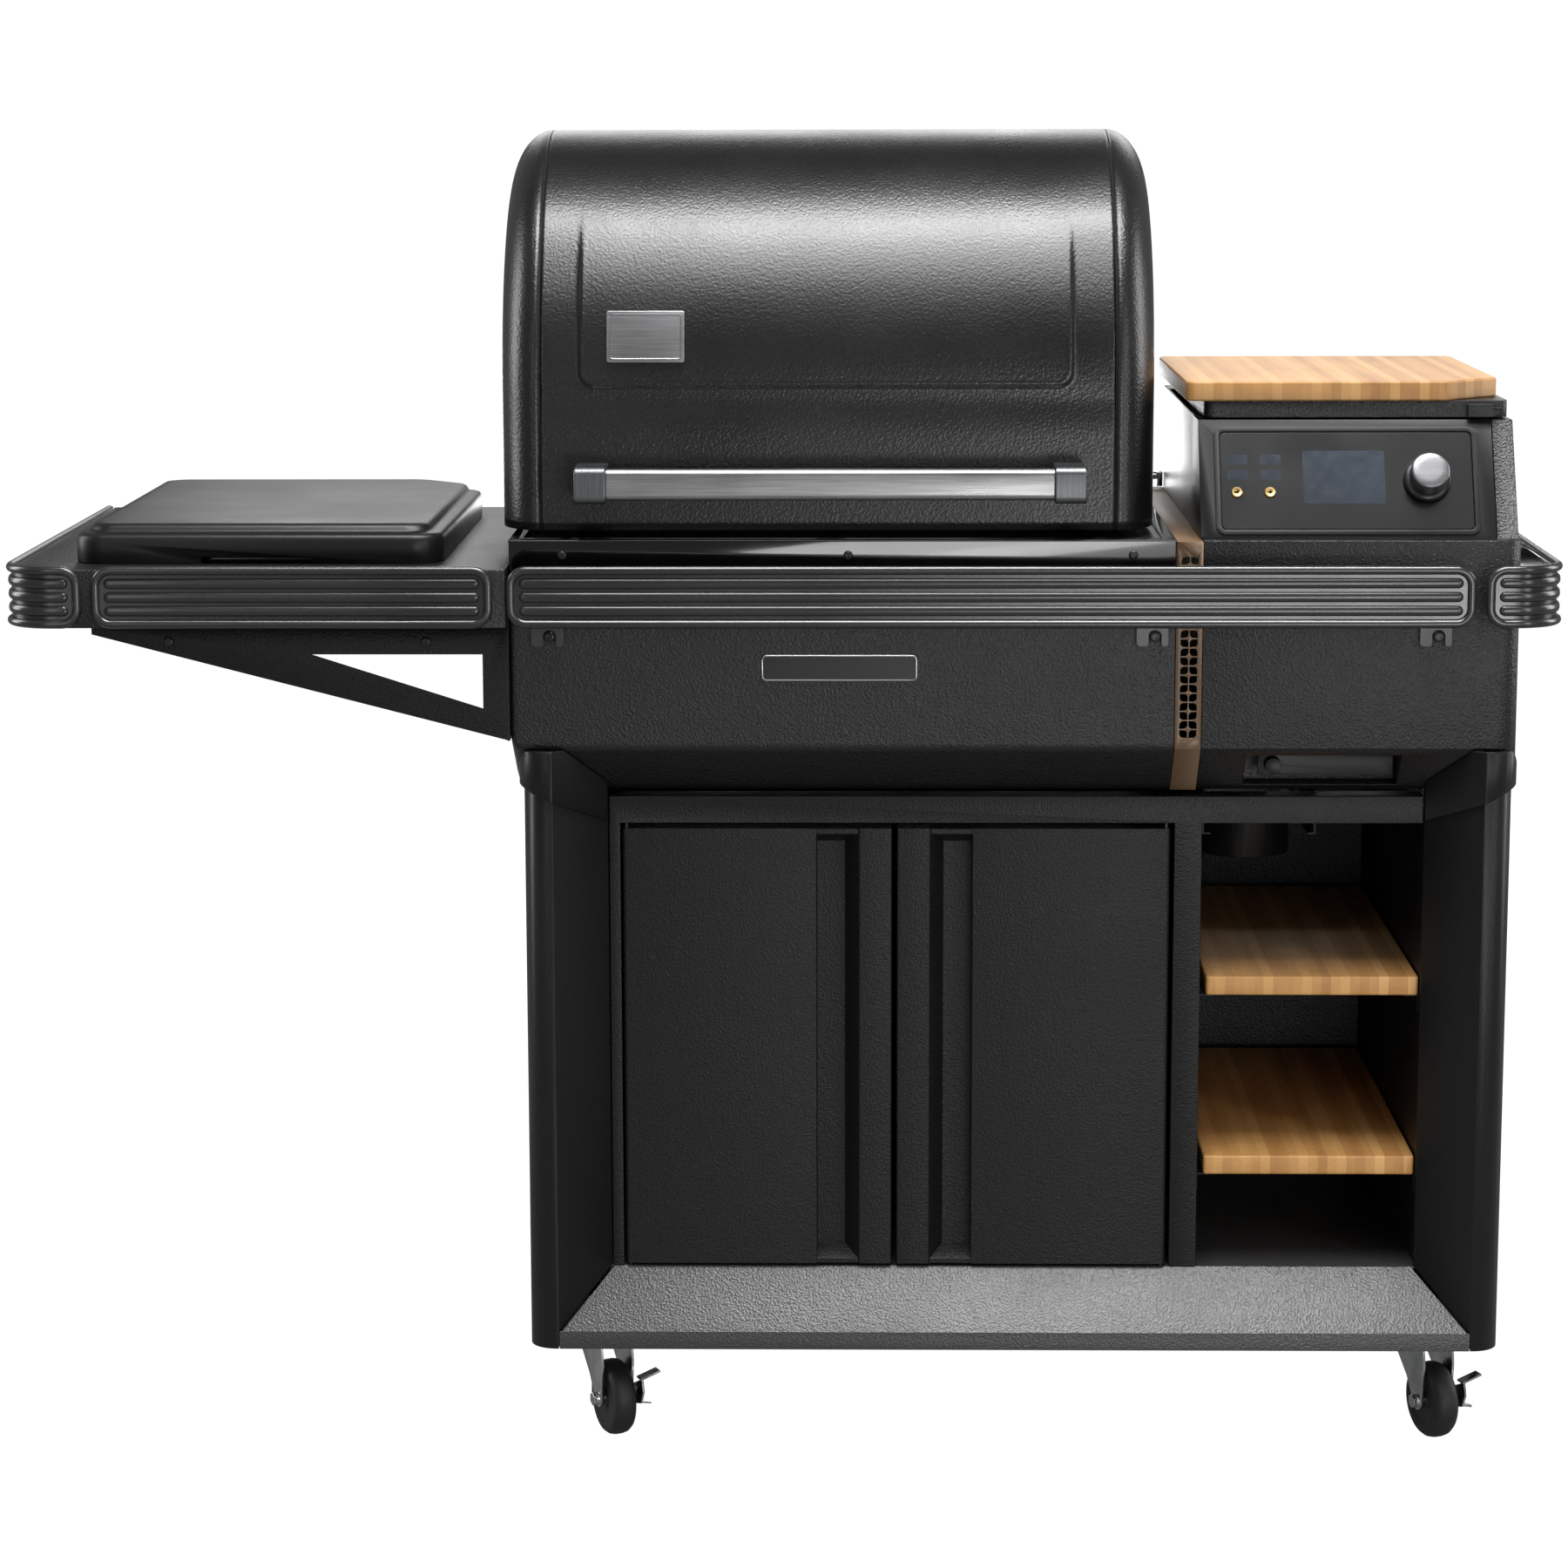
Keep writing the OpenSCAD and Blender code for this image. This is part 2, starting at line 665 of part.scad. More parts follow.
module hopper_shell() color([0.11, 0.11, 0.12]) {
  col = 20;
  difference() {
    intersection() {
      along_x(hop_left, hop_right) body_outline(0, 908);
      linear_extrude(950) {
        translate([hop_left, body_front]) square([hop_right - hop_left - col, back - body_front]);
        translate([hop_left, body_front + col])
          square([hop_right - hop_left, back - body_front - col]);
        translate([hop_right - col, body_front + col]) circle(col);
      }
      along_y(-400, 400) {
        translate([hop_left, body_floor + 15]) square([hop_right - hop_left, 300]);
        translate([hop_left, body_floor - 1]) square([hop_right - hop_left - 15, 300]);
        translate([hop_right - 15, body_floor + 15]) circle(15);
      }
    }
    along_x(hop_left + sheet, hop_right - 14) body_outline(sheet, 906);
    block([hop_left + 22, -142, 900], [hop_right - 21, 202, 920]);
    rod_x(hop_left - 1, hop_left + 5, 0, auger_z, tube_r + 0.5);
    rod_x(hop_left - 1, hop_left + 5, fan_y, fan_z, 18.5);
    block([450, -290, 664], [600, -207, 698]);
  }
  difference() {
    intersection() {
      along_x(448, 602) body_outline(1, 906);
      block([448, -290, 660], [602, -205, 701]);
    }
    block([450, -291, 664], [600, -207, 698]);
    block([506, -208, 683], [598, -204, 687]);
  }
  difference() {
    block([hop_left, -148, 908], [708, 255, hop_top]);
    block([hop_left + sheet, -146, 900], [706, 253, hop_top + 1]);
  }
  block([hop_left + sheet, 204, hop_top - sheet], [706, 253, hop_top]);
  difference() {
    along_x(687.5, 708) wedge_outline(0);
    along_x(689.5, 706) wedge_outline(2);
  }
  block([560, back, 760], [600, back + 6, 790]);
}

// Funnel outline of the pellet bin
module bin_outline(g) {
  polygon([[-140 + g, hop_top - 3 + g], [-140 + g, 900], [-24 + g, 738 + g], [24 - g, 738 + g],
    [200 - g, 900], [200 - g, hop_top - 3 + g]]);
}

module hopper_bin() color([0.30, 0.30, 0.31]) {
  difference() {
    along_x(hop_left + 23, hop_right - 23) bin_outline(0);
    along_x(hop_left + 25, hop_right - 25) bin_outline(2);
    block([500, -15, 730], [580, 15, 745]);
  }
}

module hopper_lid() color([0.08, 0.08, 0.09]) {
  z1 = board_top - board_t;
  difference() {
    union() {
      translate([0, 0, 1020]) linear_extrude(z1 - 1020) round_rect([410, -203], [704, 205], 10);
      for (x = [450, 634]) {
        rod_x(x, x + 30, hop_hinge.x, hop_hinge.y, 7);
        block([x, 204, hop_hinge.y - 5], [x + 30, hop_hinge.x, hop_hinge.y + 5]);
      }
      block([664, -213, 1021], [688, -203, z1 - 3]);
      rod_x(688, 698, -208, 1029, 1.5);
    }
    translate([0, 0, 1019]) linear_extrude(z1 - 2 - 1019)
      round_rect([412, -201], [702, 203], 8);
    rod_x(449, 665, hop_hinge.x, hop_hinge.y, 3.06);
  }
}

module bamboo_board() color([0.80, 0.60, 0.34])
  translate([0, 0, board_top - board_t]) linear_extrude(board_t) difference() {
    round_rect([board_x[0], board_y[0]], [board_x[1], board_y[1]], 12);
    polygon([[642, board_y[0] - 1], [board_x[1] + 1, board_y[0] - 1],
      [board_x[1] + 1, board_y[0] + 57]]);
  }

module control_housing() color([0.12, 0.12, 0.13]) {
  difference() {
    union() {
      along_x(hop_left - 1.5, 687) wedge_outline(0);
      tilted(0) translate([0, 0.1, 0]) along_y(-2.1, 0.5) difference() {
        round_rect([glass_x[0] - 6, glass_z[0] - 6], [glass_x[1] + 6, glass_z[1] + 6], 9);
        round_rect([glass_x[0] - 1, glass_z[0] - 1], [glass_x[1] + 1, glass_z[1] + 1], 5);
      }
    }
    along_x(hop_left + 1, 685) wedge_outline(4);
    tilted(0) along_y(-1, 2)
      round_rect([glass_x[0] - 1, glass_z[0] - 1], [glass_x[1] + 1, glass_z[1] + 1], 5);
    for (x = jack_xs) tilted(x) rod_y(-3, 12, 0, jack_z, 3.5);
    tilted(knob_at.x) rod_y(-3, 12, 0, knob_at.y, 3.5);
  }
}

module control_glass() color([0.04, 0.04, 0.05]) tilted(0) difference() {
  along_y(-1.5, 1.5)
    round_rect([glass_x[0], glass_z[0]], [glass_x[1], glass_z[1]], 4.5);
  for (x = jack_xs) rod_y(-5, 5, x, jack_z, 3.5);
  rod_y(-5, 5, knob_at.x, knob_at.y, 3.5);
}

// Turning knob with a flared collar; it turns on the shaft
module knob() color([0.6, 0.61, 0.62])
  tilted(knob_at.x) translate([0, -3.4, knob_at.y]) rotate([90, 0, 0]) rotate_extrude()
    polygon([[3.06, 0], [23, 0], [23, 3], [knob_r + 1.5, 6], [knob_r, 24], [knob_r - 1, 26],
      [0, 26], [0, 21.5], [3.06, 21.5]]);

module knob_shaft() color([0.6, 0.6, 0.6]) tilted(knob_at.x) {
  rod_y(-24.5, 24, 0, knob_at.y, 3);
  rod_y(18, 22, 0, knob_at.y, 6);
}

module probe_jacks() color([0.72, 0.58, 0.32])
  for (x = jack_xs) tilted(x) difference() {
    union() {
      rod_y(-3.6, -1.6, 0, jack_z, 6);
      rod_y(-3.6, 16, 0, jack_z, 3.2);
    }
    rod_y(-4, 12.4, 0, jack_z, jack_r);
  }

module auger() color([0.55, 0.56, 0.57]) {
  rod_x(112, 611.5, 0, auger_z, 7);
  translate([114, 0, auger_z]) rotate([0, 90, 0])
    linear_extrude(height = 470, twist = 2160, slices = 72) square([41, 5], center = true);
}

module auger_tube() color([0.4, 0.4, 0.41]) difference() {
  rod_x(pot_x + 50, 600, 0, auger_z, tube_r);
  rod_x(pot_x + 49, 601, 0, auger_z, 22);
  block([500, -15, auger_z], [580, 15, auger_z + 30]);
}

module drive_motors() color([0.3, 0.3, 0.31]) {
  block([612, -32, 686], [640, 32, 736]);
  rod_x(640, 686, 0, auger_z, 22);
  rod_x(472, 502, fan_y, fan_z, 20);
  rod_x(434, 472, fan_y, fan_z, 3);
}

module fan_housing() color([0.25, 0.25, 0.26]) {
  difference() {
    rod_x(425, 470, fan_y, fan_z, 50);
    rod_x(427, 468, fan_y, fan_z, 48);
    rod_x(467, 471, fan_y, fan_z, 24);
    rod_x(424, 428, fan_y, fan_z, 16);
  }
  difference() {
    rod_x(380, 425, fan_y, fan_z, 18);
    rod_x(379, 426, fan_y, fan_z, 16);
  }
}

module fan_impeller() color([0.2, 0.2, 0.21]) difference() {
  union() {
    rod_x(432, 434, fan_y, fan_z, 42);
    rod_x(432, 452, fan_y, fan_z, 9);
    for (i = [0:11])
      translate([0, fan_y, fan_z]) rotate([30 * i, 0, 0])
        translate([434, -1, 24]) cube([24, 2, 17.5]);
  }
  rod_x(430, 460, fan_y, fan_z, 3.08);
}

module cleanout_gate() color([0.25, 0.25, 0.26]) {
  block([508, -236, 684], [596, -60, 686]);
  block([464, -238, 674], [596, -236, 695]);
  rod_y(-252, -238, 478, 684.5, 8);
}

// Bronze strip over the front and the slanted underside, with rows of petal cut-outs
module petal(s) {
  circle(s);
  translate([0, 0]) square([s, s]);
  translate([-s, -s]) square([s, s]);
}

module vent_band() color([0.47, 0.36, 0.27]) {
  x0 = box_right + 0.4;
  x1 = hop_left - 0.4;
  mid = (x0 + x1) / 2;
  pitch = 17.7;
  lowest = 720.5;
  difference() {
    along_x(x0, x1) difference() {
      body_outline(-0.8, body_top);
      body_outline(1.4, body_top - 1.8);
    }
    for (flower = [0:9], row = [0, 1], side = [-1, 1])
      along_y(body_front - 5, body_front + 5)
        translate([mid + side * 4.4, lowest + pitch * (flower + 0.5 * row)])
          mirror([(row == 0) == (side < 0) ? 1 : 0, 0]) petal(3.85);
  }
}

// ---- Side shelf and rails ----

module shelf_outline(g) {
  r = rail_r - rail_in - 0.3;
  x0 = -rail_x + rail_in + 0.3 + g;
  y0 = rail_y + rail_in + 0.3 + g;
  x1 = box_left - 0.5 - g;
  y1 = rail_back - g;
  translate([x0 + r, y0]) square([x1 - x0 - r, y1 - y0]);
  translate([x0, y0 + r]) square([r + 1, y1 - y0 - r]);
  translate([x0 + r, y0 + r]) circle(r);
}

module side_shelf() color([0.12, 0.12, 0.13]) difference() {
  translate([0, 0, rail_z]) linear_extrude(shelf_z - rail_z) shelf_outline(0);
  translate([0, 0, rail_z - 1]) linear_extrude(shelf_z - rail_z - 1) shelf_outline(sheet);
  block([-664, -234, shelf_z - 5], [-352, 194, shelf_z + 1]);
}

module shelf_bracket() {
  along_y(0, 3) difference() {
    polygon([[-667, rail_z], [-667, 818], [box_left - 0.5, 714], [box_left - 0.5, rail_z]]);
    polygon([[-455, 798.5], [-289, 798.5], [-289, 745.5]]);
  }
  block([-667, 0, rail_z - 2], [box_left - 0.5, 36, rail_z]);
  block([box_left - 3, 0, 714], [box_left - 0.5, 36, rail_z]);
}

module shelf_brackets() color([0.10, 0.10, 0.11]) {
  translate([0, body_front - 3, 0]) shelf_bracket();
  translate([0, back - 10, 0]) mirror([0, 1, 0]) shelf_bracket();
}

module cooktop() color([0.06, 0.06, 0.07]) {
  translate([0, 0, shelf_z]) linear_extrude(4) round_rect([-670, -240], [-346, 200], 14);
  case_low = [-660, -230, rail_z + 2];
  case_high = [-356, 190, shelf_z];
  wall = [3, 3, 3];
  slot = 10;
  slot_pitch = 28;
  difference() {
    block(case_low, case_high);
    block(case_low + wall, case_high - wall);
    for (x = [-590:slot_pitch:-450]) block([x, -180, rail_z], [x + slot, 140, rail_z + 6]);
  }
}

module cover_outline(g) {
  difference() {
    round_rect([cover_x[0] + g, cover_y[0] + g], [cover_x[1] - g, cover_y[1] - g], 30 - 0.5 * g);
    polygon([[cover_x[1] - 45 - g, cover_y[1] + 1], [cover_x[1] + 1, cover_y[1] - 45 - g],
      [cover_x[1] + 1, cover_y[1] + 1]]);
  }
}

module cooktop_cover() color([0.11, 0.11, 0.12]) difference() {
  union() {
    translate([0, 0, shelf_z + 0.2]) linear_extrude(29) cover_outline(0);
    translate([0, 0, shelf_z + 29]) linear_extrude(9) cover_outline(12);
  }
  translate([0, 0, shelf_z - 1]) linear_extrude(28) cover_outline(3);
  translate([0, 0, shelf_z + 20]) linear_extrude(15) cover_outline(15);
  block([-562, cover_y[0] - 1, shelf_z - 1], [-454, cover_y[0] + 4, shelf_z + 8]);
}

// Heights of the raised bands of a rail: two edge beads and three inner ribs
function band(z, h) = [z, z + h];
bands = [band(0, 8.6), band(11.5, 10), band(25, 10), band(38.5, 10), band(51.4, 8.6)];

module straight_rail(x0, x1) {
  y = rail_y + bead;
  block([x0, y, rail_z], [x1, y + sheet, rail_z + rail_h]);
  for (b = bands) {
    inset = b[1] < 9 || b[0] > 51 ? 0 : 10;
    block([x0 + inset, rail_y, rail_z + b[0]], [x1 - inset, y, rail_z + b[1]]);
  }
  for (x = [x0, x1 - 7]) block([x, rail_y, rail_z], [x + 7, y, rail_z + rail_h]);
}

module front_rails() color([0.20, 0.20, 0.21]) {
  straight_rail(-660.5, -275.6);
  straight_rail(-262.7, 661.6);
  for (x = tab_xs) {
    block([x - 16, body_front - 4.2, 808], [x + 16, body_front - 2.2, 864]);
    block([x - 10, rail_y + bead + sheet, 846], [x + 10, body_front - 4.2, 864]);
  }
}

// Plan path of the right corner rail: front, round corner and side; from depth a to depth b
module corner_path(a, b, x0, y1) {
  cx = rail_x - rail_r;
  cy = rail_y + rail_r;
  translate([x0, rail_y + a]) square([cx - x0, b - a]);
  translate([rail_x - b, cy]) square([b - a, y1 - cy]);
  intersection() {
    difference() {
      translate([cx, cy]) circle(rail_r - a);
      translate([cx, cy]) circle(rail_r - b);
    }
    translate([cx, rail_y]) square([rail_r, rail_r]);
  }
}

module corner_rail(x0) {
  translate([0, 0, rail_z]) {
    linear_extrude(rail_h) corner_path(bead, bead + sheet, x0, rail_back);
    for (b = bands) {
      inset = b[1] < 9 || b[0] > 51 ? 0 : 10;
      translate([0, 0, b[0]]) linear_extrude(b[1] - b[0])
        corner_path(0, bead, x0 + inset, rail_back - inset);
    }
  }
  block([x0, rail_y, rail_z], [x0 + 7, rail_y + bead, rail_z + rail_h]);
  block([rail_x - bead, rail_back - 7, rail_z], [rail_x, rail_back, rail_z + rail_h]);
}

module corner_rails() color([0.20, 0.20, 0.21]) {
  corner_rail(671);
  mirror([1, 0, 0]) corner_rail(670);
  for (y = [-150, 60, 240])
    block([hop_right, y, 846], [rail_x - bead - sheet, y + 20, 862]);
}

// Screws of the rim, the rail tabs and the shelf brackets, and the four door pivots
module button_screw(x, y, z, r) {
  rod_y(y - 2.4, y, x, z, r);
}

module fasteners() color([0.2, 0.2, 0.2]) {
  for (x = [-211, 64, 337.5]) button_screw(x, body_front - 2.2, 894.5, 4.5);
  for (x = tab_xs) button_screw(x, body_front - 4.2, 816, 5.5);
  for (x = [-592.5, -343.5]) button_screw(x, body_front - 3, 811, 5);
  for (x = [left_door_x + corner_r, right_door_x - corner_r]) {
    translate([x, door_y + corner_r, floor_top]) cylinder(h = 12, r = pivot_r);
    translate([x, door_y + corner_r, header_z[0] - 12]) cylinder(h = 12, r = pivot_r);
  }
}

base_frame();
left_side_panel();
right_side_panel();
leg_caps();
cabinet_shell();
face_frame();
left_door();
right_door();
bay_shelves();
inner_brackets();
caster_plates();
caster_fork_fl();
caster_fork_fr();
caster_fork_rl();
caster_fork_rr();
caster_wheel_fl();
caster_wheel_fr();
caster_wheel_rl();
caster_wheel_rr();
brake_pedal_left();
brake_pedal_right();
firebox_shell();
firebox_liner();
firebox_rim();
firepot();
heat_baffle();
drip_tray();
cooking_grates();
grease_keg();
exhaust_duct();
hinge_hardware();
lid_shell();
lid_ends();
lid_liner();
handle_bar();
handle_brackets();
badge_plate();
hopper_shell();
hopper_bin();
hopper_lid();
bamboo_board();
control_housing();
control_glass();
knob();
knob_shaft();
probe_jacks();
auger();
auger_tube();
drive_motors();
fan_housing();
fan_impeller();
cleanout_gate();
vent_band();
side_shelf();
shelf_brackets();
cooktop();
cooktop_cover();
front_rails();
corner_rails();
fasteners();
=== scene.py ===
import json
from math import atan2, cos, exp, hypot, pi, radians, sin, sqrt, tan

import bmesh
import bpy
from mathutils import Matrix, Vector


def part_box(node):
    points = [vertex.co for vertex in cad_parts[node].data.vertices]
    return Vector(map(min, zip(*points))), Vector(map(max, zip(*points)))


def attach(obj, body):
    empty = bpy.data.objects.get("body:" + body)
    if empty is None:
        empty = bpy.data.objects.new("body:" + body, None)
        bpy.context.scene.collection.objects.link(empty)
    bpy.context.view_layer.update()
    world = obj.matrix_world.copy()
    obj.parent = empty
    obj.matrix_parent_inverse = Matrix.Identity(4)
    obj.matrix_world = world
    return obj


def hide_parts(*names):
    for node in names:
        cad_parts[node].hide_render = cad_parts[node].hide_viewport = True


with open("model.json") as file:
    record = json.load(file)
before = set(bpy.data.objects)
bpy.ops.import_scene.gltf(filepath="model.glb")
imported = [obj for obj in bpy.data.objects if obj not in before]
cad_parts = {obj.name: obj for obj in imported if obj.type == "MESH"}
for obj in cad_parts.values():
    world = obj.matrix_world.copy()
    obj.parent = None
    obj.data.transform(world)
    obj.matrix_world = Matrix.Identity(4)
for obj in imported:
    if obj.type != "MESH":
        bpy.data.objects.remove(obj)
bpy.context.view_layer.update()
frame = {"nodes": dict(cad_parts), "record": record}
nodes = frame["nodes"]
MM = 0.001
ROOT = "grill"


# ---- Camera, floor and light ----

def add_camera():
    """Camera at the front, about 1.3 m up, looking slightly down."""
    data = bpy.data.cameras.new("camera")
    data.lens = 93
    data.sensor_width = 36
    camera = bpy.data.objects.new("camera", data)
    bpy.context.scene.collection.objects.link(camera)
    turn = Matrix.Rotation(radians(1.045), 4, "Z")
    tilt = Matrix.Rotation(radians(90 - 9.806), 4, "X")
    roll = Matrix.Rotation(radians(-0.151), 4, "Z")
    camera.matrix_world = Matrix.Translation((0.0724, -4.1491, 1.3405)) @ turn @ tilt @ roll
    bpy.context.scene.camera = camera


def area_light(name, at, target, size, power):
    """Rectangular softbox at a point, aimed at another."""
    data = bpy.data.lights.new(name, "AREA")
    data.shape = "RECTANGLE"
    data.size, data.size_y = size
    data.energy = power
    light = bpy.data.objects.new(name, data)
    bpy.context.scene.collection.objects.link(light)
    light.location = at
    aim = Vector(target) - Vector(at)
    light.rotation_euler = aim.to_track_quat("-Z", "Y").to_euler()


def add_studio():
    """Round pale floor that curves up into a wall, softboxes and a dim even sky."""
    bm = bmesh.new()
    flat, radius, top, around, bend = 5.5, 2.0, 9.0, 64, 10  # metres, then counts
    below_wheels = 0.0005
    profile = [(0.02, 0.0), (1.5, 0.0), (3.5, 0.0), (flat, 0.0)]
    for i in range(1, bend + 1):
        a = pi / 2 * i / bend
        profile.append((flat + radius * sin(a), radius - radius * cos(a)))
    profile.append((flat + radius, top))
    rings = []
    for r, z in profile:
        turns = [2 * pi * k / around for k in range(around)]
        rings.append([(r * cos(t) / MM, r * sin(t) / MM, (z - below_wheels) / MM) for t in turns])
    loft(bm, rings, cap_end=False)
    make_object("studio_floor", bm, paper_material())
    world = bpy.data.worlds.new("studio")
    world.use_nodes = True
    sky = world.node_tree.nodes["Background"]
    sky.inputs["Color"].default_value = (0.80, 0.82, 0.85, 1)
    sky.inputs["Strength"].default_value = 0.05
    bpy.context.scene.world = world
    area_light("key_front", (0.35, -1.9, 3.6), (0.15, -0.25, 0.9), (1.9, 0.5), 25)
    area_light("key_rear", (0.35, -1.35, 3.6), (0.15, -0.25, 0.9), (1.9, 0.5), 20)
    area_light("key_top", (0.35, -0.8, 3.6), (0.15, -0.25, 0.9), (1.9, 0.5), 42)
    area_light("over_top", (0.2, -0.5, 3.0), (0.2, -0.5, 0.3), (2.2, 0.3), 46)
    area_light("front_top", (0.4, -2.6, 3.2), (0.3, -0.25, 0.9), (1.8, 0.8), 4)
    area_light("front_low", (0.8, -3.2, 0.35), (0.4, -0.3, 0.75), (0.9, 0.5), 11)
    area_light("front_right", (1.25, -3.2, 0.8), (0.35, -0.28, 0.7), (0.7, 1.3), 7)
    area_light("left_strip", (-1.45, -3.0, 1.35), (-0.2, -0.2, 0.9), (0.35, 2.3), 6)
    area_light("right_strip", (2.2, -2.4, 1.35), (0.6, -0.2, 0.9), (0.3, 2.3), 12)
    area_light("left_side", (-3.2, 0.4, 1.6), (-0.3, 0.0, 0.7), (1.2, 2.2), 45)
    area_light("right_side", (3.4, 0.4, 1.6), (0.7, 0.0, 0.7), (1.2, 2.2), 45)
    area_light("rear", (0.2, 3.6, 2.4), (0.2, 0.2, 0.7), (3.0, 1.2), 30)
    area_light("rear_low", (0.2, 3.6, 0.45), (0.2, 0.2, 0.6), (2.6, 0.8), 50)
    bpy.context.scene.view_settings.view_transform = "Standard"


# ---- Materials ----

class Finish:
    """One procedural material, with short calls for its nodes."""

    def __init__(self, name, colour, rough, metal=0.0, specular=0.5, coat=0.0):
        self.material = bpy.data.materials.new(name)
        self.material.use_nodes = True
        self.tree = self.material.node_tree
        self.shader = self.tree.nodes["Principled BSDF"]
        self.set("Base Color", (*colour, 1))
        self.set("Roughness", rough)
        self.set("Metallic", metal)
        self.set("Specular IOR Level", specular)
        self.set("Coat Weight", coat)
        self.coords = self.tree.nodes.new("ShaderNodeTexCoord").outputs["Object"]

    def set(self, socket, value):
        self.shader.inputs[socket].default_value = value

    def link(self, source, socket):
        target = self.shader.inputs[socket] if isinstance(socket, str) else socket
        self.tree.links.new(source, target)

    def stretched(self, scale):
        mapping = self.tree.nodes.new("ShaderNodeMapping")
        mapping.inputs["Scale"].default_value = scale
        self.link(self.coords, mapping.inputs["Vector"])
        return mapping.outputs["Vector"]

    def noise(self, scale, detail=2.0, stretch=(1, 1, 1), rough=0.5):
        node = self.tree.nodes.new("ShaderNodeTexNoise")
        node.inputs["Scale"].default_value = scale
        node.inputs["Detail"].default_value = detail
        node.inputs["Roughness"].default_value = rough
        self.link(self.stretched(stretch), node.inputs["Vector"])
        return node.outputs[0]

    def cells(self, scale):
        node = self.tree.nodes.new("ShaderNodeTexVoronoi")
        node.feature = "SMOOTH_F1"
        node.inputs["Scale"].default_value = scale
        self.link(self.stretched((1, 1, 1)), node.inputs["Vector"])
        return node.outputs["Distance"]

    def math(self, operation, a, b=0.0):
        node = self.tree.nodes.new("ShaderNodeMath")
        node.operation = operation
        for value, socket in ((a, node.inputs[0]), (b, node.inputs[1])):
            if isinstance(value, (int, float)):
                socket.default_value = value
            else:
                self.link(value, socket)
        return node.outputs[0]

    def axis(self, letter):
        node = self.tree.nodes.new("ShaderNodeSeparateXYZ")
        self.link(self.coords, node.inputs[0])
        return node.outputs[letter]

    def random(self, value):
        node = self.tree.nodes.new("ShaderNodeTexWhiteNoise")
        node.noise_dimensions = "1D"
        self.link(value, node.inputs["W"])
        return node.outputs["Value"]

    def span(self, value, low, high):
        node = self.tree.nodes.new("ShaderNodeMapRange")
        self.link(value, node.inputs["Value"])
        node.inputs["From Min"].default_value = 0.25
        node.inputs["From Max"].default_value = 0.75
        node.inputs["To Min"].default_value = low
        node.inputs["To Max"].default_value = high
        return node.outputs["Result"]

    def ramp(self, value, *stops):
        node = self.tree.nodes.new("ShaderNodeValToRGB")
        elements = node.color_ramp.elements
        while len(elements) < len(stops):
            elements.new(0.5)
        for element, (at, colour) in zip(elements, stops):
            element.position = at
            element.color = (*colour, 1)
        self.link(value, node.inputs[0])
        return node.outputs[0]

    def bump(self, height, distance, strength=1.0):
        node = self.tree.nodes.new("ShaderNodeBump")
        node.inputs["Strength"].default_value = strength
        node.inputs["Distance"].default_value = distance
        self.link(height, node.inputs["Height"])
        return node.outputs[0]


def shade(colour, factor):
    return tuple(min(1.0, c * factor) for c in colour)


def powder_coat(name, colour, rough, grain, depth, specular=0.36):
    """Satin powder coat: fine pebbles, faint colour mottling and soft gloss changes."""
    f = Finish(name, colour, rough, specular=specular)
    pebbles = f.math("ADD", f.noise(grain, 2.0), f.math("MULTIPLY", f.cells(grain * 0.8), 0.6))
    f.link(f.bump(pebbles, depth * MM), "Normal")
    f.link(f.span(f.noise(7, 3.0), rough - 0.05, rough + 0.06), "Roughness")
    speck = f.ramp(f.noise(grain * 1.3, 1.0), (0.35, shade(colour, 0.65)), (0.7, shade(colour, 1.7)))
    f.link(speck, "Base Color")
    return f.material


def brushed_metal(name, colour, rough, along):
    """Brushed metal with fine lines along one axis (0 X, 1 Y, 2 Z)."""
    f = Finish(name, colour, rough, metal=1.0)
    stretch = [1.0, 1.0, 1.0]
    stretch[along] = 0.02
    lines = f.noise(900, 3.0, stretch)
    f.link(f.bump(lines, 0.03 * MM, 0.6), "Normal")
    f.link(f.ramp(lines, (0.3, shade(colour, 0.8)), (0.7, shade(colour, 1.15))), "Base Color")
    f.link(f.span(f.noise(14, 3.0), rough - 0.05, rough + 0.08), "Roughness")
    return f.material


def plated_metal(name, colour, rough):
    """Zinc-plated or dull sheet steel with cloudy gloss."""
    f = Finish(name, colour, rough, metal=1.0)
    f.link(f.span(f.noise(60, 4.0), rough - 0.08, rough + 0.12), "Roughness")
    f.link(f.ramp(f.noise(45, 4.0), (0.3, shade(colour, 0.75)), (0.7, shade(colour, 1.1))), "Base Color")
    f.link(f.bump(f.noise(220, 2.0), 0.05 * MM, 0.5), "Normal")
    return f.material


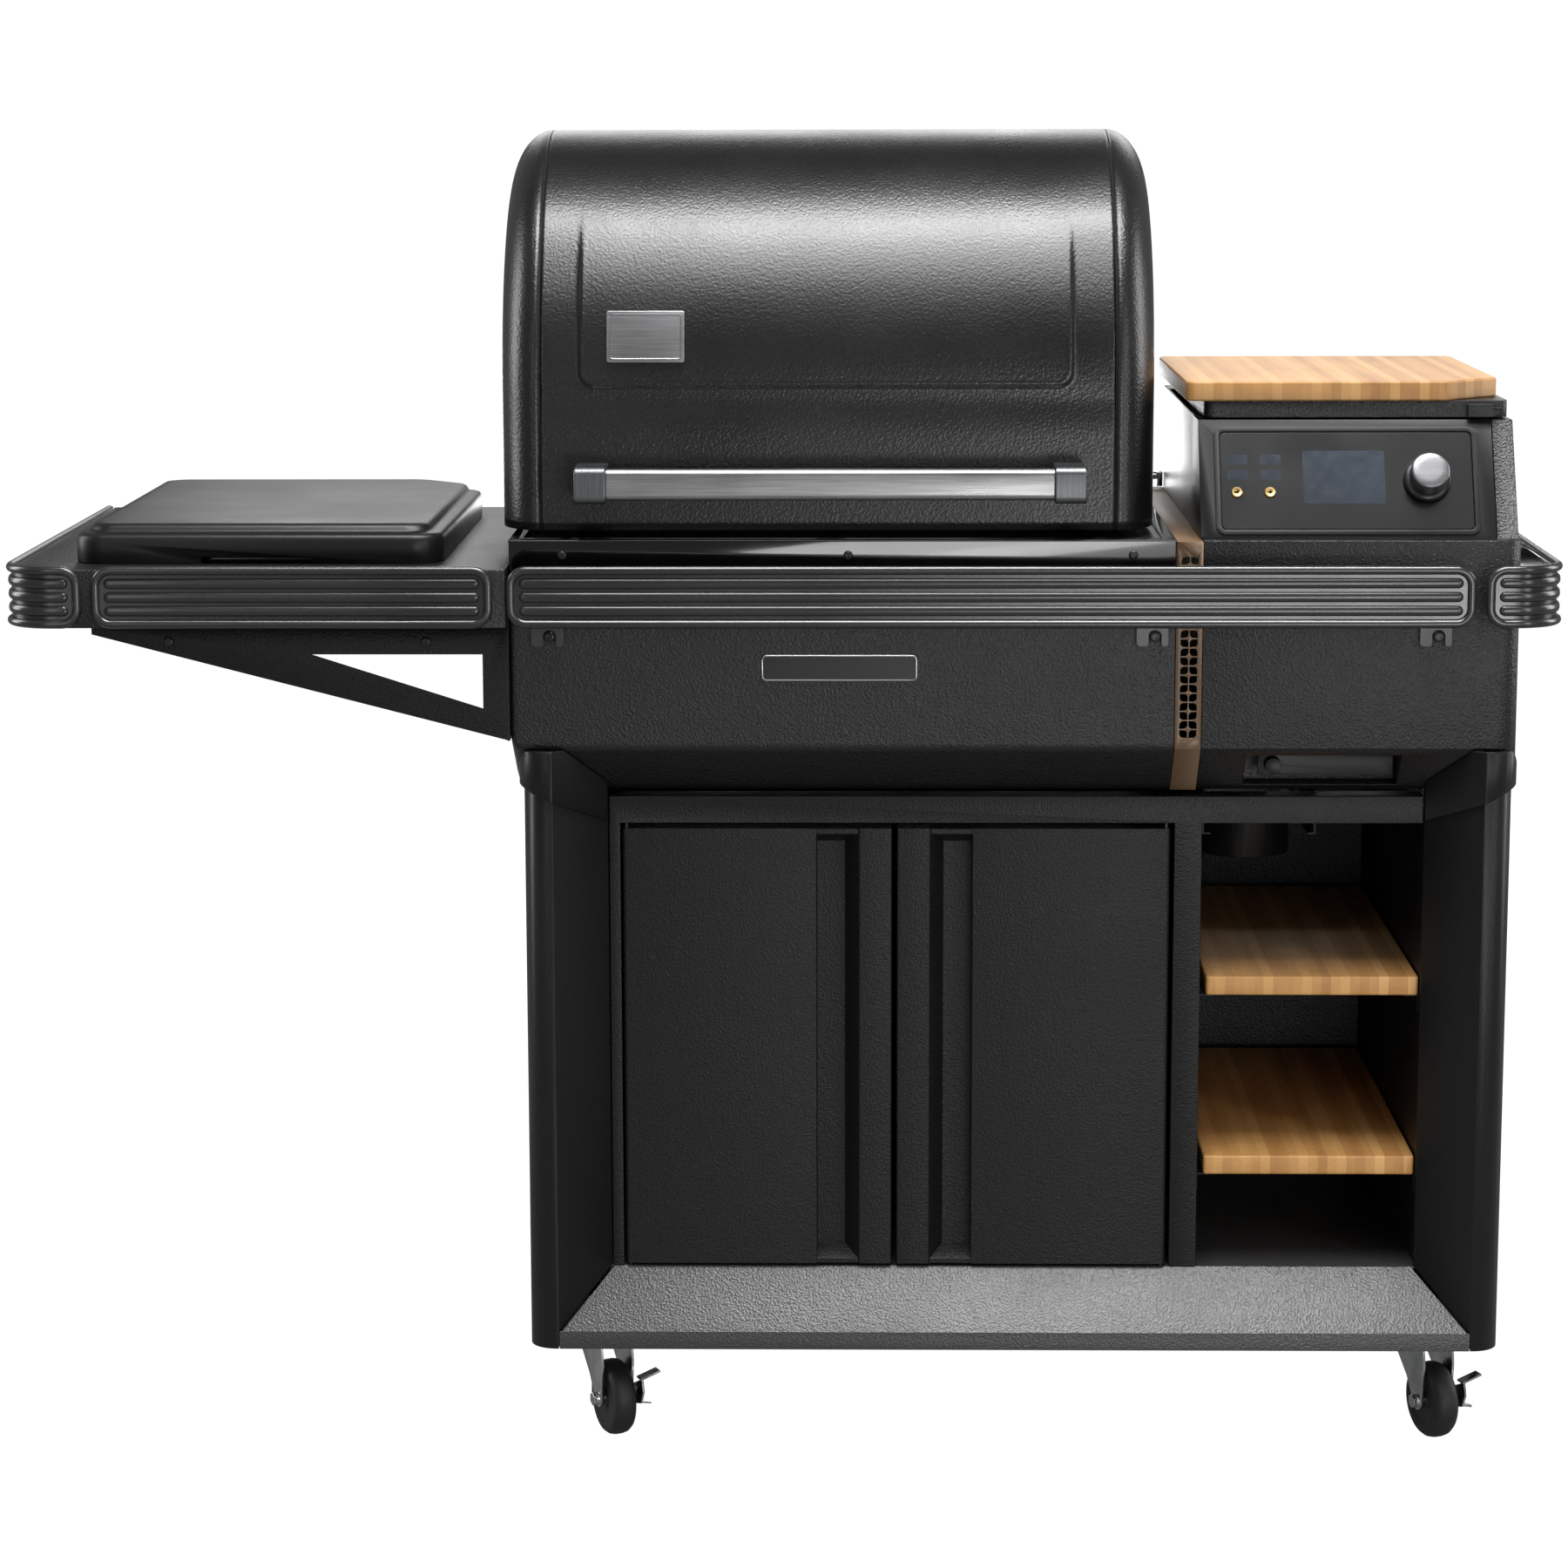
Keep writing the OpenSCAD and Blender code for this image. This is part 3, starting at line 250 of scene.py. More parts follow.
def bamboo(name, painted_light_scale=1.0, strip=0.0095):
    """Glued bamboo strips that run front to back, each with its own tone, fibres and joints;
    painted_light_scale brightens or darkens the whole material as painted light.
    """
    f = Finish(name, (0.6, 0.36, 0.14), 0.42, specular=0.4)
    index = f.math("FLOOR", f.math("DIVIDE", f.axis("X"), strip))
    tone = f.random(index)
    fibre = f.noise(1400, 3.0, (1, 0.03, 1), 0.65)
    cloud = f.noise(18, 2.0, (1.5, 0.35, 1.5))
    along = f.math("MULTIPLY", f.axis("Y"), 4.2)
    knuckle = f.math("FRACT", f.math("ADD", along, f.math("MULTIPLY", tone, 7.0)))
    near = f.math("LESS_THAN", knuckle, 0.012)
    value = f.math("ADD", f.math("MULTIPLY", tone, 0.26), f.math("MULTIPLY", fibre, 0.42))
    value = f.math("ADD", value, f.math("MULTIPLY", cloud, 0.34))
    value = f.math("SUBTRACT", value, f.math("MULTIPLY", near, 0.12))
    tones = ((0.25, (0.30, 0.135, 0.040)), (0.42, (0.44, 0.220, 0.070)),
             (0.58, (0.55, 0.300, 0.105)), (0.80, (0.64, 0.390, 0.160)))
    colour = f.ramp(value, *[(at, shade(rgb, painted_light_scale)) for at, rgb in tones])
    f.link(colour, "Base Color")
    f.link(f.bump(fibre, 0.10 * MM, 0.5), "Normal")
    f.link(f.span(fibre, 0.36, 0.52), "Roughness")
    return f.material


def smooth_gloss(name, colour, rough, specular=0.5, coat=0.0):
    """Glass, enamel or moulded plastic with a slight ripple and faint smears."""
    f = Finish(name, colour, rough, specular=specular, coat=coat)
    f.link(f.bump(f.noise(40, 1.0), 0.02 * MM, 0.4), "Normal")
    f.link(f.span(f.noise(12, 4.0), max(rough - 0.02, 0.02), rough + 0.05), "Roughness")
    f.link(f.ramp(f.noise(25, 2.0), (0.3, shade(colour, 0.85)), (0.7, shade(colour, 1.15))), "Base Color")
    return f.material


def rubber(name):
    """Black tyre rubber with a fine grain and a little dust."""
    f = Finish(name, (0.010, 0.010, 0.011), 0.55)
    f.link(f.bump(f.noise(500, 3.0), 0.08 * MM, 0.6), "Normal")
    dust = f.ramp(f.noise(40, 4.0), (0.3, (0.007, 0.007, 0.007)), (0.75, (0.020, 0.019, 0.018)))
    f.link(dust, "Base Color")
    return f.material


def paper_material():
    """White backdrop: full white where it is seen itself, dim where it lights the object."""
    f = Finish("paper", (0.12, 0.12, 0.12), 0.9, specular=0.1)
    glow, dim = 1.0, 0.14
    seen = f.tree.nodes.new("ShaderNodeLightPath").outputs["Is Camera Ray"]
    f.link(f.math("ADD", f.math("MULTIPLY", seen, glow - dim), dim), "Emission Strength")
    f.link(f.ramp(f.noise(3, 2.0), (0.3, (0.99, 0.99, 0.99)), (0.7, (1, 1, 1))), "Emission Color")
    return f.material


def display_material():
    """Screen area of the touch glass: a soft blue-grey field with a painted reflection that brightens it to
    the top right.
    """
    f = Finish("display", (0.02, 0.03, 0.04), 0.14)
    # Painted reflection: the colour rises with X and Z towards the top right.
    glow = f.math("ADD", f.math("MULTIPLY", f.axis("X"), 3.2), f.math("MULTIPLY", f.axis("Z"), 3.0))
    field = f.ramp(f.math("SUBTRACT", glow, 4.0), (0.2, (0.008, 0.012, 0.020)), (0.9, (0.022, 0.032, 0.048)))
    f.link(field, "Base Color")
    f.link(f.span(f.noise(90, 2.0), 0.12, 0.20), "Roughness")
    return f.material


def make_finishes():
    black = (0.0072, 0.0072, 0.0078)
    return {
        "cart_paint": powder_coat("cart_paint", black, 0.40, 560, 0.50),
        "door_paint": powder_coat("door_paint", black, 0.42, 560, 0.55),
        "body_paint": powder_coat("body_paint", black, 0.35, 520, 0.75, 0.5),
        # Five times the black of the other paints: painted light that makes the frame's sill read as
        # brightly lit.
        "frame_paint_painted_light": powder_coat("frame_paint_painted_light", shade(black, 5), 0.36, 540, 0.60, 0.9),
        "leg_paint": powder_coat("leg_paint", black, 0.36, 900, 0.14),
        "smooth_paint": powder_coat("smooth_paint", shade(black, 0.8), 0.38, 1100, 0.05),
        "lid_enamel": powder_coat("lid_enamel", shade(black, 0.7), 0.30, 430, 0.30, 0.6),
        "enamel": smooth_gloss("enamel", (0.004, 0.004, 0.005), 0.10, 0.5, 0.3),
        "rail_paint": powder_coat("rail_paint", (0.015, 0.015, 0.016), 0.25, 1200, 0.03, 0.9),
        "bracket_grey": brushed_metal("bracket_grey", (0.16, 0.165, 0.17), 0.36, 2),
        "tab_grey": powder_coat("tab_grey", (0.035, 0.035, 0.037), 0.34, 900, 0.10, 0.6),
        "inner_steel": plated_metal("inner_steel", (0.20, 0.19, 0.18), 0.50),
        "grate_steel": powder_coat("grate_steel", (0.05, 0.05, 0.05), 0.38, 500, 0.10),
        "brushed_trim": brushed_metal("brushed_trim", (0.38, 0.38, 0.385), 0.30, 0),
        "plate_trim": brushed_metal("plate_trim", (0.36, 0.36, 0.37), 0.34, 0),
        "zinc": plated_metal("zinc", (0.56, 0.57, 0.58), 0.22),
        "bronze": powder_coat("bronze", (0.150, 0.092, 0.052), 0.40, 900, 0.05, 0.6),
        # Same bamboo in two copies as painted light: the bay shelves' brightened 1.35 times against their
        # shade, the top board's darkened to 0.85 against the strong top light.
        "bamboo": bamboo("bamboo", 1.35),
        "bamboo_top_painted_darker": bamboo("bamboo_top_painted_darker", 0.85),
        "panel_glass": smooth_gloss("panel_glass", (0.006, 0.0065, 0.007), 0.14),
        "cooktop_glass": smooth_gloss("cooktop_glass", (0.005, 0.005, 0.006), 0.10),
        "display": display_material(),
        "knob_metal": brushed_metal("knob_metal", (0.24, 0.24, 0.25), 0.34, 0),
        "knob_black": smooth_gloss("knob_black", (0.010, 0.010, 0.011), 0.30),
        "jack_brass": plated_metal("jack_brass", (0.62, 0.42, 0.17), 0.26),
        "caster_rubber": rubber("caster_rubber"),
        "motor_black": smooth_gloss("motor_black", (0.02, 0.02, 0.021), 0.45),
        "screw_black": smooth_gloss("screw_black", (0.010, 0.010, 0.011), 0.32),
        # Near-black, darker than every paint: painted shade for the lid seams and the gaps at the sill's
        # ends.
        "painted_shade_black": smooth_gloss("painted_shade_black", (0.002, 0.002, 0.002), 0.80),
    }


# ---- Mesh helpers ----

def make_object(name, bm, material, sharp=32, bevel=0.0, segments=3):
    """Object from a bmesh, smooth-shaded between edges flatter than sharp degrees."""
    bmesh.ops.recalc_face_normals(bm, faces=bm.faces)
    mesh = bpy.data.meshes.new(name)
    bm.to_mesh(mesh)
    bm.free()
    mesh.materials.append(material)
    mesh.polygons.foreach_set("use_smooth", [True] * len(mesh.polygons))
    piece = bpy.data.objects.new(name, mesh)
    bpy.context.scene.collection.objects.link(piece)
    if bevel:
        modifier = piece.modifiers.new("round", "BEVEL")
        modifier.width = bevel * MM
        modifier.segments = segments
        modifier.limit_method = "ANGLE"
        modifier.angle_limit = radians(sharp)
        modifier.harden_normals = True
    else:
        mesh.set_sharp_from_angle(angle=radians(sharp))
    return piece


def add_piece(name, bm, slot, body=ROOT, replaces=(), finish=None, sharp=32, bevel=0.0, segments=3):
    """Finished piece that rides on a body and may stand for CAD nodes."""
    piece = make_object(name, bm, finishes[finish or slot], sharp, bevel, segments)
    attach(piece, body)
    if replaces:
        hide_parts(*replaces)
    return piece


def body_of(node):
    return next(body for body, members in frame["record"]["behaviour"]["bodies"].items() if node in members)


def refined(node, slot, bevel, segments=2, finish=None, sharp=32):
    """Copy of a CAD node with its flat faces joined up and its edges rounded."""
    bm = bmesh.new()
    bm.from_mesh(nodes[node].data)
    bmesh.ops.remove_doubles(bm, verts=bm.verts, dist=0.005 * MM)
    bmesh.ops.dissolve_limit(bm, angle_limit=radians(0.6), verts=bm.verts, edges=bm.edges)
    return add_piece(node + "_piece", bm, slot, body_of(node), (node,), finish, sharp, bevel, segments)


def arc(cx, cy, r, start, end, count=8):
    """Points of an arc, in degrees."""
    angles = [radians(start + (end - start) * i / count) for i in range(count + 1)]
    return [(cx + r * cos(a), cy + r * sin(a)) for a in angles]


def fillet(corners, count=6):
    """Closed outline from (x, y, radius) corners, each rounded by its radius."""
    outline = []
    for i, (x, y, r) in enumerate(corners):
        here = Vector((x, y))
        before = Vector(corners[i - 1][:2]) - here
        after = Vector(corners[(i + 1) % len(corners)][:2]) - here
        if r <= 0:
            outline.append((x, y))
            continue
        before.normalize()
        after.normalize()
        half = before.angle(after) / 2
        reach = r / tan(half)
        centre = here + (before + after).normalized() * (r / sin(half))
        a = here + before * reach - centre
        b = here + after * reach - centre
        turn = atan2(a.x * b.y - a.y * b.x, a.dot(b))
        start = atan2(a.y, a.x)
        for k in range(count + 1):
            angle = start + turn * k / count
            outline.append((centre.x + r * cos(angle), centre.y + r * sin(angle)))
    return outline


AXES = {"x": lambda a, b, c: (c, a, b), "y": lambda a, b, c: (a, c, b), "z": lambda a, b, c: (a, b, c)}


def prism(bm, outline, axis, low, high):
    """Solid of an outline in mm: (y, z) along x, (x, z) along y or (x, y) along z."""
    place = AXES[axis]
    ends = [[bm.verts.new(Vector(place(a, b, c)) * MM) for a, b in outline] for c in (low, high)]
    bm.faces.new(ends[0])
    bm.faces.new(reversed(ends[1]))
    for i in range(len(outline)):
        j = (i + 1) % len(outline)
        bm.faces.new((ends[0][i], ends[0][j], ends[1][j], ends[1][i]))


def loft(bm, rings, cap_start=True, cap_end=True):
    """Skin through closed rings of the same number of points, in mm."""
    made = [[bm.verts.new(Vector(p) * MM) for p in ring] for ring in rings]
    for a, b in zip(made, made[1:]):
        for i in range(len(a)):
            j = (i + 1) % len(a)
            bm.faces.new((a[i], a[j], b[j], b[i]))
    if cap_start:
        bm.faces.new(made[0])
    if cap_end:
        bm.faces.new(made[-1])
    return made


def box(bm, low, high):
    """Block between two corners, in mm."""
    (x0, y0, z0), (x1, y1, z1) = low, high
    prism(bm, [(x0, y0), (x1, y0), (x1, y1), (x0, y1)], "z", z0, z1)


def lathe(bm, profile, place, count=48):
    """Turned shape: (radius, height) points in mm round the Z axis of the matrix place."""
    rings = []
    for r, h in profile:
        turns = [2 * pi * i / count for i in range(count)]
        rings.append([place @ Vector((max(r, 0.01) * cos(a), max(r, 0.01) * sin(a), h)) for a in turns])
    loft(bm, rings)


def tube(bm, points, radius, closed=False, count=12):
    """Round rod along points in mm, with domed ends when it is open."""
    pts = [Vector(p) for p in points]
    size = len(pts)
    radii = [radius] * size
    if not closed:
        for end, inner in ((0, 1), (-1, -2)):
            out = (pts[end] - pts[inner]).normalized() * radius
            steps = [(0.6, 0.8), (0.9, 0.44), (1.0, 0.1)]
            extra = [pts[end] + out * (step - 1.0) for step, _ in steps]
            base = pts[end] - out
            if end == 0:
                pts = extra[::-1] + [base] + pts[1:]
                radii = [radius * k for _, k in steps][::-1] + radii
            else:
                pts = pts[:-1] + [base] + extra
                radii = radii + [radius * k for _, k in steps]
        size = len(pts)
    rings = []
    side = None
    for i, point in enumerate(pts):
        before = pts[i - 1] if (closed or i > 0) else point
        after = pts[(i + 1) % size] if (closed or i < size - 1) else point
        along = (after - before).normalized()
        if side is None:
            side = along.orthogonal().normalized()
        side = (side - along * side.dot(along)).normalized()
        up = along.cross(side)
        turns = [2 * pi * k / count for k in range(count)]
        rings.append([point + (side * cos(a) + up * sin(a)) * radii[i] for a in turns])
    if closed:
        rings.append(rings[0])
        made = [[bm.verts.new(p * MM) for p in ring] for ring in rings[:-1]]
        first = made[0]
        gap = min(range(count), key=lambda k: (first[k].co - made[-1][0].co).length)
        for n, ring in enumerate(made):
            nxt = made[(n + 1) % len(made)]
            shift = gap if n == len(made) - 1 else 0
            for k in range(count):
                j = (k + 1) % count
                bm.faces.new((ring[k], ring[j], nxt[(j + shift) % count], nxt[(k + shift) % count]))
    else:
        loft(bm, rings)


def spun(origin, axis):
    """Matrix in mm that stands a turned shape's Z axis along axis at origin."""
    return Matrix.Translation(origin) @ Vector(axis).to_track_quat("Z", "Y").to_matrix().to_4x4()


def box_mm(node):
    low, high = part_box(node)
    return low / MM, high / MM


# ---- Lid ----

LID = {"r": 245.0, "cz": 1050.0, "z": 915.0, "seams": (-234.0, 322.0)}
PANEL = {"left": -194.0, "right": 279.0, "foot": 139.0, "rise": 3.4, "fade": (240.0, 330.0)}


def arch_path(radius, drop=LID["z"], step=4.0):
    """Lid cross-section from the front bottom edge over the top: (y, z, normal y, normal z)."""
    path = []
    rise = LID["cz"] - drop
    rows = int(rise / 9)
    for i in range(rows):
        path.append((-radius, drop + rise * i / rows, -1.0, 0.0))
    turns = int(180 / step)
    for i in range(turns + 1):
        a = radians(180 - 180 * i / turns)
        path.append((radius * cos(a), LID["cz"] + radius * sin(a), cos(a), sin(a)))
    for i in range(1, rows + 1):
        path.append((radius, LID["cz"] - rise * i / rows, 1.0, 0.0))
    return path


def ease(value, low, high):
    t = min(1.0, max(0.0, (value - low) / (high - low)))
    return t * t * (3 - 2 * t)


def panel_height(x, s):
    """Raised front panel of the lid: x across, s the length along the arch from the bottom edge."""
    corner = 14.0
    dx = max(PANEL["left"] + corner - x, x - PANEL["right"] + corner, 0.0)
    ds = max(PANEL["foot"] + corner - s, 0.0)
    inside = corner - hypot(dx, ds)
    bead = 1.1 * exp(-(inside / 2.4) ** 2)
    return (PANEL["rise"] * ease(inside, -2.8, 2.8) + bead) * (1 - ease(s, *PANEL["fade"]))


def lid_barrel():
    """Curved lid sheet with its raised front panel, and the hinge knuckles."""
    bm = bmesh.new()
    x0, x1 = LID["seams"]
    edges = [x0 + 0.6, x0 + 4]
    x = x0 + 14
    while x < x1 - 10:
        near = min(abs(x - PANEL["left"]), abs(x - PANEL["right"])) < 24
        edges.append(x)
        x += 1.8 if near else 9
    edges += [x1 - 4, x1 - 0.6]
    path = arch_path(LID["r"] - 0.15, step=1.6)
    fine = []
    length = 0.0
    for a, b in zip(path, path[1:]):
        step = hypot(b[0] - a[0], b[1] - a[1])
        parts = 5 if 118 < length + step and length < 165 else 1
        for k in range(parts):
            t = k / parts
            fine.append((length + step * t, [a[n] + (b[n] - a[n]) * t for n in range(4)]))
        length += step
    fine.append((length, list(path[-1])))
    # the panel stands up inside the lid's outline: everything else is pressed in by its height
    pressed = 0.8
    rows = []
    for s, (y, z, ny, nz) in fine:
        row = []
        for x in edges:
            level = PANEL["rise"] * (1 - ease(s, *PANEL["fade"])) * ease(s, 96, 128)
            dip = pressed * (level - panel_height(x, s))
            row.append(bm.verts.new(Vector((x, y - ny * dip, z - nz * dip)) * MM))
        rows.append(row)
    for a, b in zip(rows, rows[1:]):
        for i in range(len(edges) - 1):
            bm.faces.new((a[i], a[i + 1], b[i + 1], b[i]))
    piece = add_piece("lid_barrel", bm, "lid_enamel", "lid", ("lid_shell",), sharp=50)
    thick = piece.modifiers.new("sheet", "SOLIDIFY")
    thick.thickness = 2 * MM
    thick.offset = -1
    knuckles = bmesh.new()
    sleeve = [(4.1, 0), (8.2, 0), (9, 0.8), (9, 29.2), (8.2, 30), (4.1, 30)]
    for x in (-225, 30, 285):
        lathe(knuckles, sleeve, spun((x, 254, 920), (1, 0, 0)))
        box(knuckles, (x + 1, 244.5, 915.5), (x + 29, 252, 926))
    add_piece("lid_knuckles", knuckles, "lid_enamel", "lid", bevel=0.6)


def lid_dome(seam, outward):
    """Domed end: the section sweeps from the barrel's edge to a flat face."""
    bm = bmesh.new()
    steep, across, gap = 40.0, 60.0, 0.7
    rings = []
    count = 14
    for i in range(count + 1):
        t = pi / 2 * i / count
        radius = LID["r"] - across + across * cos(t)
        x = seam + outward * (gap + (steep - gap - 0.2) * sin(t))
        rings.append([(x, p[0], p[1]) for p in arch_path(radius, step=3.0)])
    made = [[bm.verts.new(Vector(p) * MM) for p in ring] for ring in rings]
    for a, b in zip(made, made[1:]):
        for k in range(len(a) - 1):
            bm.faces.new((a[k], a[k + 1], b[k + 1], b[k]))
    bm.faces.new(made[-1])
    return bm


def lid_ends():
    """Both domed ends, each with a near-black rod of painted shade in the seam where it meets the barrel."""
    inset = 0.9925
    for name, seam, outward in (("left", LID["seams"][0], -1), ("right", LID["seams"][1], 1)):
        bm = lid_dome(seam, outward)
        replaced = ("lid_ends",) if name == "left" else ()
        piece = add_piece("lid_end_" + name, bm, "lid_enamel", "lid", replaced, sharp=50)
        thick = piece.modifiers.new("sheet", "SOLIDIFY")
        thick.thickness = 2 * MM
        thick.offset = -1
        # Rod sunk into the seam in near-black: painted shade in the crevice.
        lip = bmesh.new()
        x = seam + outward * 0.2
        ring = []
        for y, z, _, _ in arch_path(LID["r"], step=3.0):
            rise = z - LID["cz"]
            ring.append((x, y * inset, LID["cz"] + rise * (inset if rise > 0 else 1)))
        tube(lip, ring, 0.9, count=8)
        add_piece("lid_seam_" + name, lip, "lid_enamel", "lid", finish="painted_shade_black")


def handle():
    """Flat grip bar between two end mounts."""
    mount = 30.5
    low, high = box_mm("handle_bar")
    bm = bmesh.new()
    outline = fillet([(low.y, low.z, 6), (high.y, low.z, 3), (high.y, high.z, 3), (low.y, high.z, 6)])
    prism(bm, outline, "x", low.x, high.x)
    add_piece("handle_grip", bm, "brushed_trim", "lid", ("handle_bar",), bevel=0.5)
    low, high = box_mm("handle_brackets")
    bm = bmesh.new()
    for x in (low.x, high.x - mount):
        outline = fillet([(low.y, low.z, 7), (high.y, low.z, 2), (high.y, high.z, 2), (low.y, high.z, 7)])
        prism(bm, outline, "x", x, x + mount)
    add_piece("handle_mounts", bm, "bracket_grey", "lid", ("handle_brackets",), bevel=1.8, segments=4)


def badge():
    """Blank plate with a pressed border."""
    refined("badge_plate", "brushed_trim", 0.7, 3, finish="plate_trim")
    bm = bmesh.new()
    ring = fillet([(-34, -21.5, 3), (34, -21.5, 3), (34, 21.5, 3), (-34, 21.5, 3)])
    tilt = Matrix.Rotation(radians(-12), 4, "X")
    points = [Vector((-131, 0, LID["cz"])) + tilt @ Vector((x, -LID["r"] - 2.9, z)) for x, z in ring]
    tube(bm, points, 0.55, True, 8)
    add_piece("badge_border", bm, "brushed_trim", "lid")


# ---- Firebox and hopper casing ----

CASE = {"front": -278.0, "bend": 706.0, "under": -228.0, "floor": 658.0, "back": 262.0}


def case_ring(x, top, gy=0.0, gz=0.0):
    """Closed cross-section of the casing, drawn in by gy at the front and gz at the bottom."""
    c = CASE
    outline = fillet([
        (c["front"] + gy, top, 1.2), (c["front"] + gy, c["bend"] + 0.4 * gz, 13),
        (c["under"] + 0.4 * gz, c["floor"] + gz, 6), (240, c["floor"] + gz, 8),
        (c["back"] - gy, c["floor"] + 22, 8), (c["back"] - gy, top, 1.2)])
    return [(x, y, z) for y, z in outline]


def casing(x0, x1, top, left, right):
    """Rings of the casing: left and right are each end's (front radius, bottom width, bottom height)."""
    steps = 7
    rings = []
    for x, sign, (front_r, wide, high) in ((x0, 1, left), (x1, -1, right)):
        end = []
        for i in range(steps + 1):
            t = pi / 2 * i / steps
            reach = max(front_r, wide)
            inset = reach * (1 - cos(t))
            front_in = front_r * (1 - sqrt(max(0.0, 1 - (1 - min(inset / front_r, 1.0)) ** 2)))
            low_in = high * (1 - sqrt(max(0.0, 1 - (1 - min(inset / wide, 1.0)) ** 2)))
            end.append(case_ring(x + sign * inset, top, front_in, low_in))
        rings += end if sign > 0 else end[::-1]
    return rings


def firebox():
    """Outer casing of the firebox."""
    bm = bmesh.new()
    loft(bm, casing(-263, 379, 906.8, (5, 14, 30), (0.8, 0.8, 0.8)))
    add_piece("firebox_casing", bm, "body_paint", ROOT, ("firebox_shell",), sharp=40)


def name_plate():
    """Blank bordered plate on the front of the firebox."""
    x0, x1, z0, z1 = -20.0, 131.0, 772.0, 798.0
    y = CASE["front"]
    bm = bmesh.new()
    prism(bm, fillet([(x0, z0, 5), (x1, z0, 5), (x1, z1, 5), (x0, z1, 5)]), "y", y - 1.2, y - 0.05)
    add_piece("name_plate", bm, "screw_black", bevel=0.4)
    rim = bmesh.new()
    inset = 1.2
    ring = fillet([(x0 + inset, z0 + inset, 4), (x1 - inset, z0 + inset, 4),
                   (x1 - inset, z1 - inset, 4), (x0 + inset, z1 - inset, 4)])
    tube(rim, [(x, y - 1.3, z) for x, z in ring], 0.9, True, 8)
    add_piece("name_plate_rim", rim, "brushed_trim")


# ---- Rails ----

RAIL = {"x": 749.5, "y": -317.5, "z": 828.0, "h": 60.0, "r": 50.0, "back": 275.0}


class RailPath:
    """Plan line of a rail, as points with outward normals, measured along its length."""

    def __init__(self, points):
        self.points = points
        self.at_length = [0.0]
        for (a, _), (b, _) in zip(points, points[1:]):
            self.at_length.append(self.at_length[-1] + hypot(b[0] - a[0], b[1] - a[1]))
        self.length = self.at_length[-1]

    def place(self, s, z, depth):
        s = min(max(s, 0.0), self.length)
        i = next(k for k in range(1, len(self.points)) if s <= self.at_length[k] + 1e-6)
        t = (s - self.at_length[i - 1]) / (self.at_length[i] - self.at_length[i - 1])
        (a, na), (b, nb) = self.points[i - 1], self.points[i]
        p = [a[k] + (b[k] - a[k]) * t for k in (0, 1)]
        n = [na[k] + (nb[k] - na[k]) * t for k in (0, 1)]
        return (p[0] + n[0] * depth, p[1] + n[1] * depth, z)


def straight_path(x0, x1):
    return RailPath([((x0, RAIL["y"]), (0, -1)), ((x1, RAIL["y"]), (0, -1))])


def corner_path(x0, side):
    """Front stretch from x0, round the corner and back along the side."""
    cx, cy, r = RAIL["x"] - RAIL["r"], RAIL["y"] + RAIL["r"], RAIL["r"]
    points = [((side * x0, RAIL["y"]), (0, -1))]
    for i in range(25):
        a = radians(-90 + 90 * i / 24)
        points.append(((side * (cx + r * cos(a)), cy + r * sin(a)), (side * cos(a), sin(a))))
    points.append(((side * RAIL["x"], RAIL["back"]), (side, 0)))
    return RailPath(points)


def steps_between(start, end, pitch):
    count = max(2, int((end - start) / pitch))
    return [start + (end - start) * i / count for i in range(count + 1)]


def rail_rib(bm, path, z, start, end, pitch):
    """Low half-round rib with rounded ends, pressed out of the rail's plate."""
    half, height, base, count = 5.0, 3.0, -4.7, 8
    near = [half * (1 - cos(pi / 2 * i / 5)) + 0.02 for i in range(5)]
    stations = [start + v for v in near] + steps_between(start + half, end - half, pitch)
    stations += [end - v for v in reversed(near)]
    rings = []
    for s in stations:
        edge = min(s - start, end - s, half)
        k = sqrt(max(1 - (1 - edge / half) ** 2, 0.0004))
        turns = [pi * i / count for i in range(count + 1)]
        rings.append([path.place(s, z + half * k * cos(a), base + height * k * sin(a)) for a in turns])
    loft(bm, rings)


def rail(name, path, replaced=()):
    """Stamped rail: a plate with a round bead as its border and three wide ribs inside."""
    bead, corner, front, rear = 4.3, 19.0, -4.9, -6.4
    rib_pitch, rib_inset = 13.2, 12.5
    z0, z1 = RAIL["z"], RAIL["z"] + RAIL["h"]
    bm = bmesh.new()
    pitch = 6.0 if len(path.points) > 2 else 60.0
    near = [corner * (1 - cos(pi / 2 * i / 8)) for i in range(8)]
    stations = near + steps_between(corner, path.length - corner, pitch)
    stations += [path.length - v for v in reversed(near)]
    rings = []
    for s in stations:
        edge = min(s, path.length - s)
        cut = corner - sqrt(max(corner ** 2 - (corner - min(edge, corner)) ** 2, 0)) + 1.0
        section = ((z0 + cut, front), (z1 - cut, front), (z1 - cut, rear), (z0 + cut, rear))
        rings.append([path.place(s, z, depth) for z, depth in section])
    loft(bm, rings)
    loop = []
    low, high = bead, path.length - bead
    bottom, top = z0 + bead, z1 - bead
    c = corner - bead
    centres = [(high - c, bottom + c, -90), (high - c, top - c, 0),
               (low + c, top - c, 90), (low + c, bottom + c, 180)]
    for s, z, start in centres:
        loop += arc(s, z, c, start, start + 90, 8)
        if start == 0:
            loop += [(v, top) for v in reversed(steps_between(low + c, high - c, pitch)[1:-1])]
        if start == 180:
            loop += [(v, bottom) for v in steps_between(low + c, high - c, pitch)[1:-1]]
    tube(bm, [path.place(s, z, -bead) for s, z in loop], bead, True, 14)
    middle = z0 + RAIL["h"] / 2
    for step in (-1, 0, 1):
        rail_rib(bm, path, middle + rib_pitch * step, rib_inset, path.length - rib_inset, pitch)
    add_piece(name, bm, "rail_paint", ROOT, replaced, sharp=50)


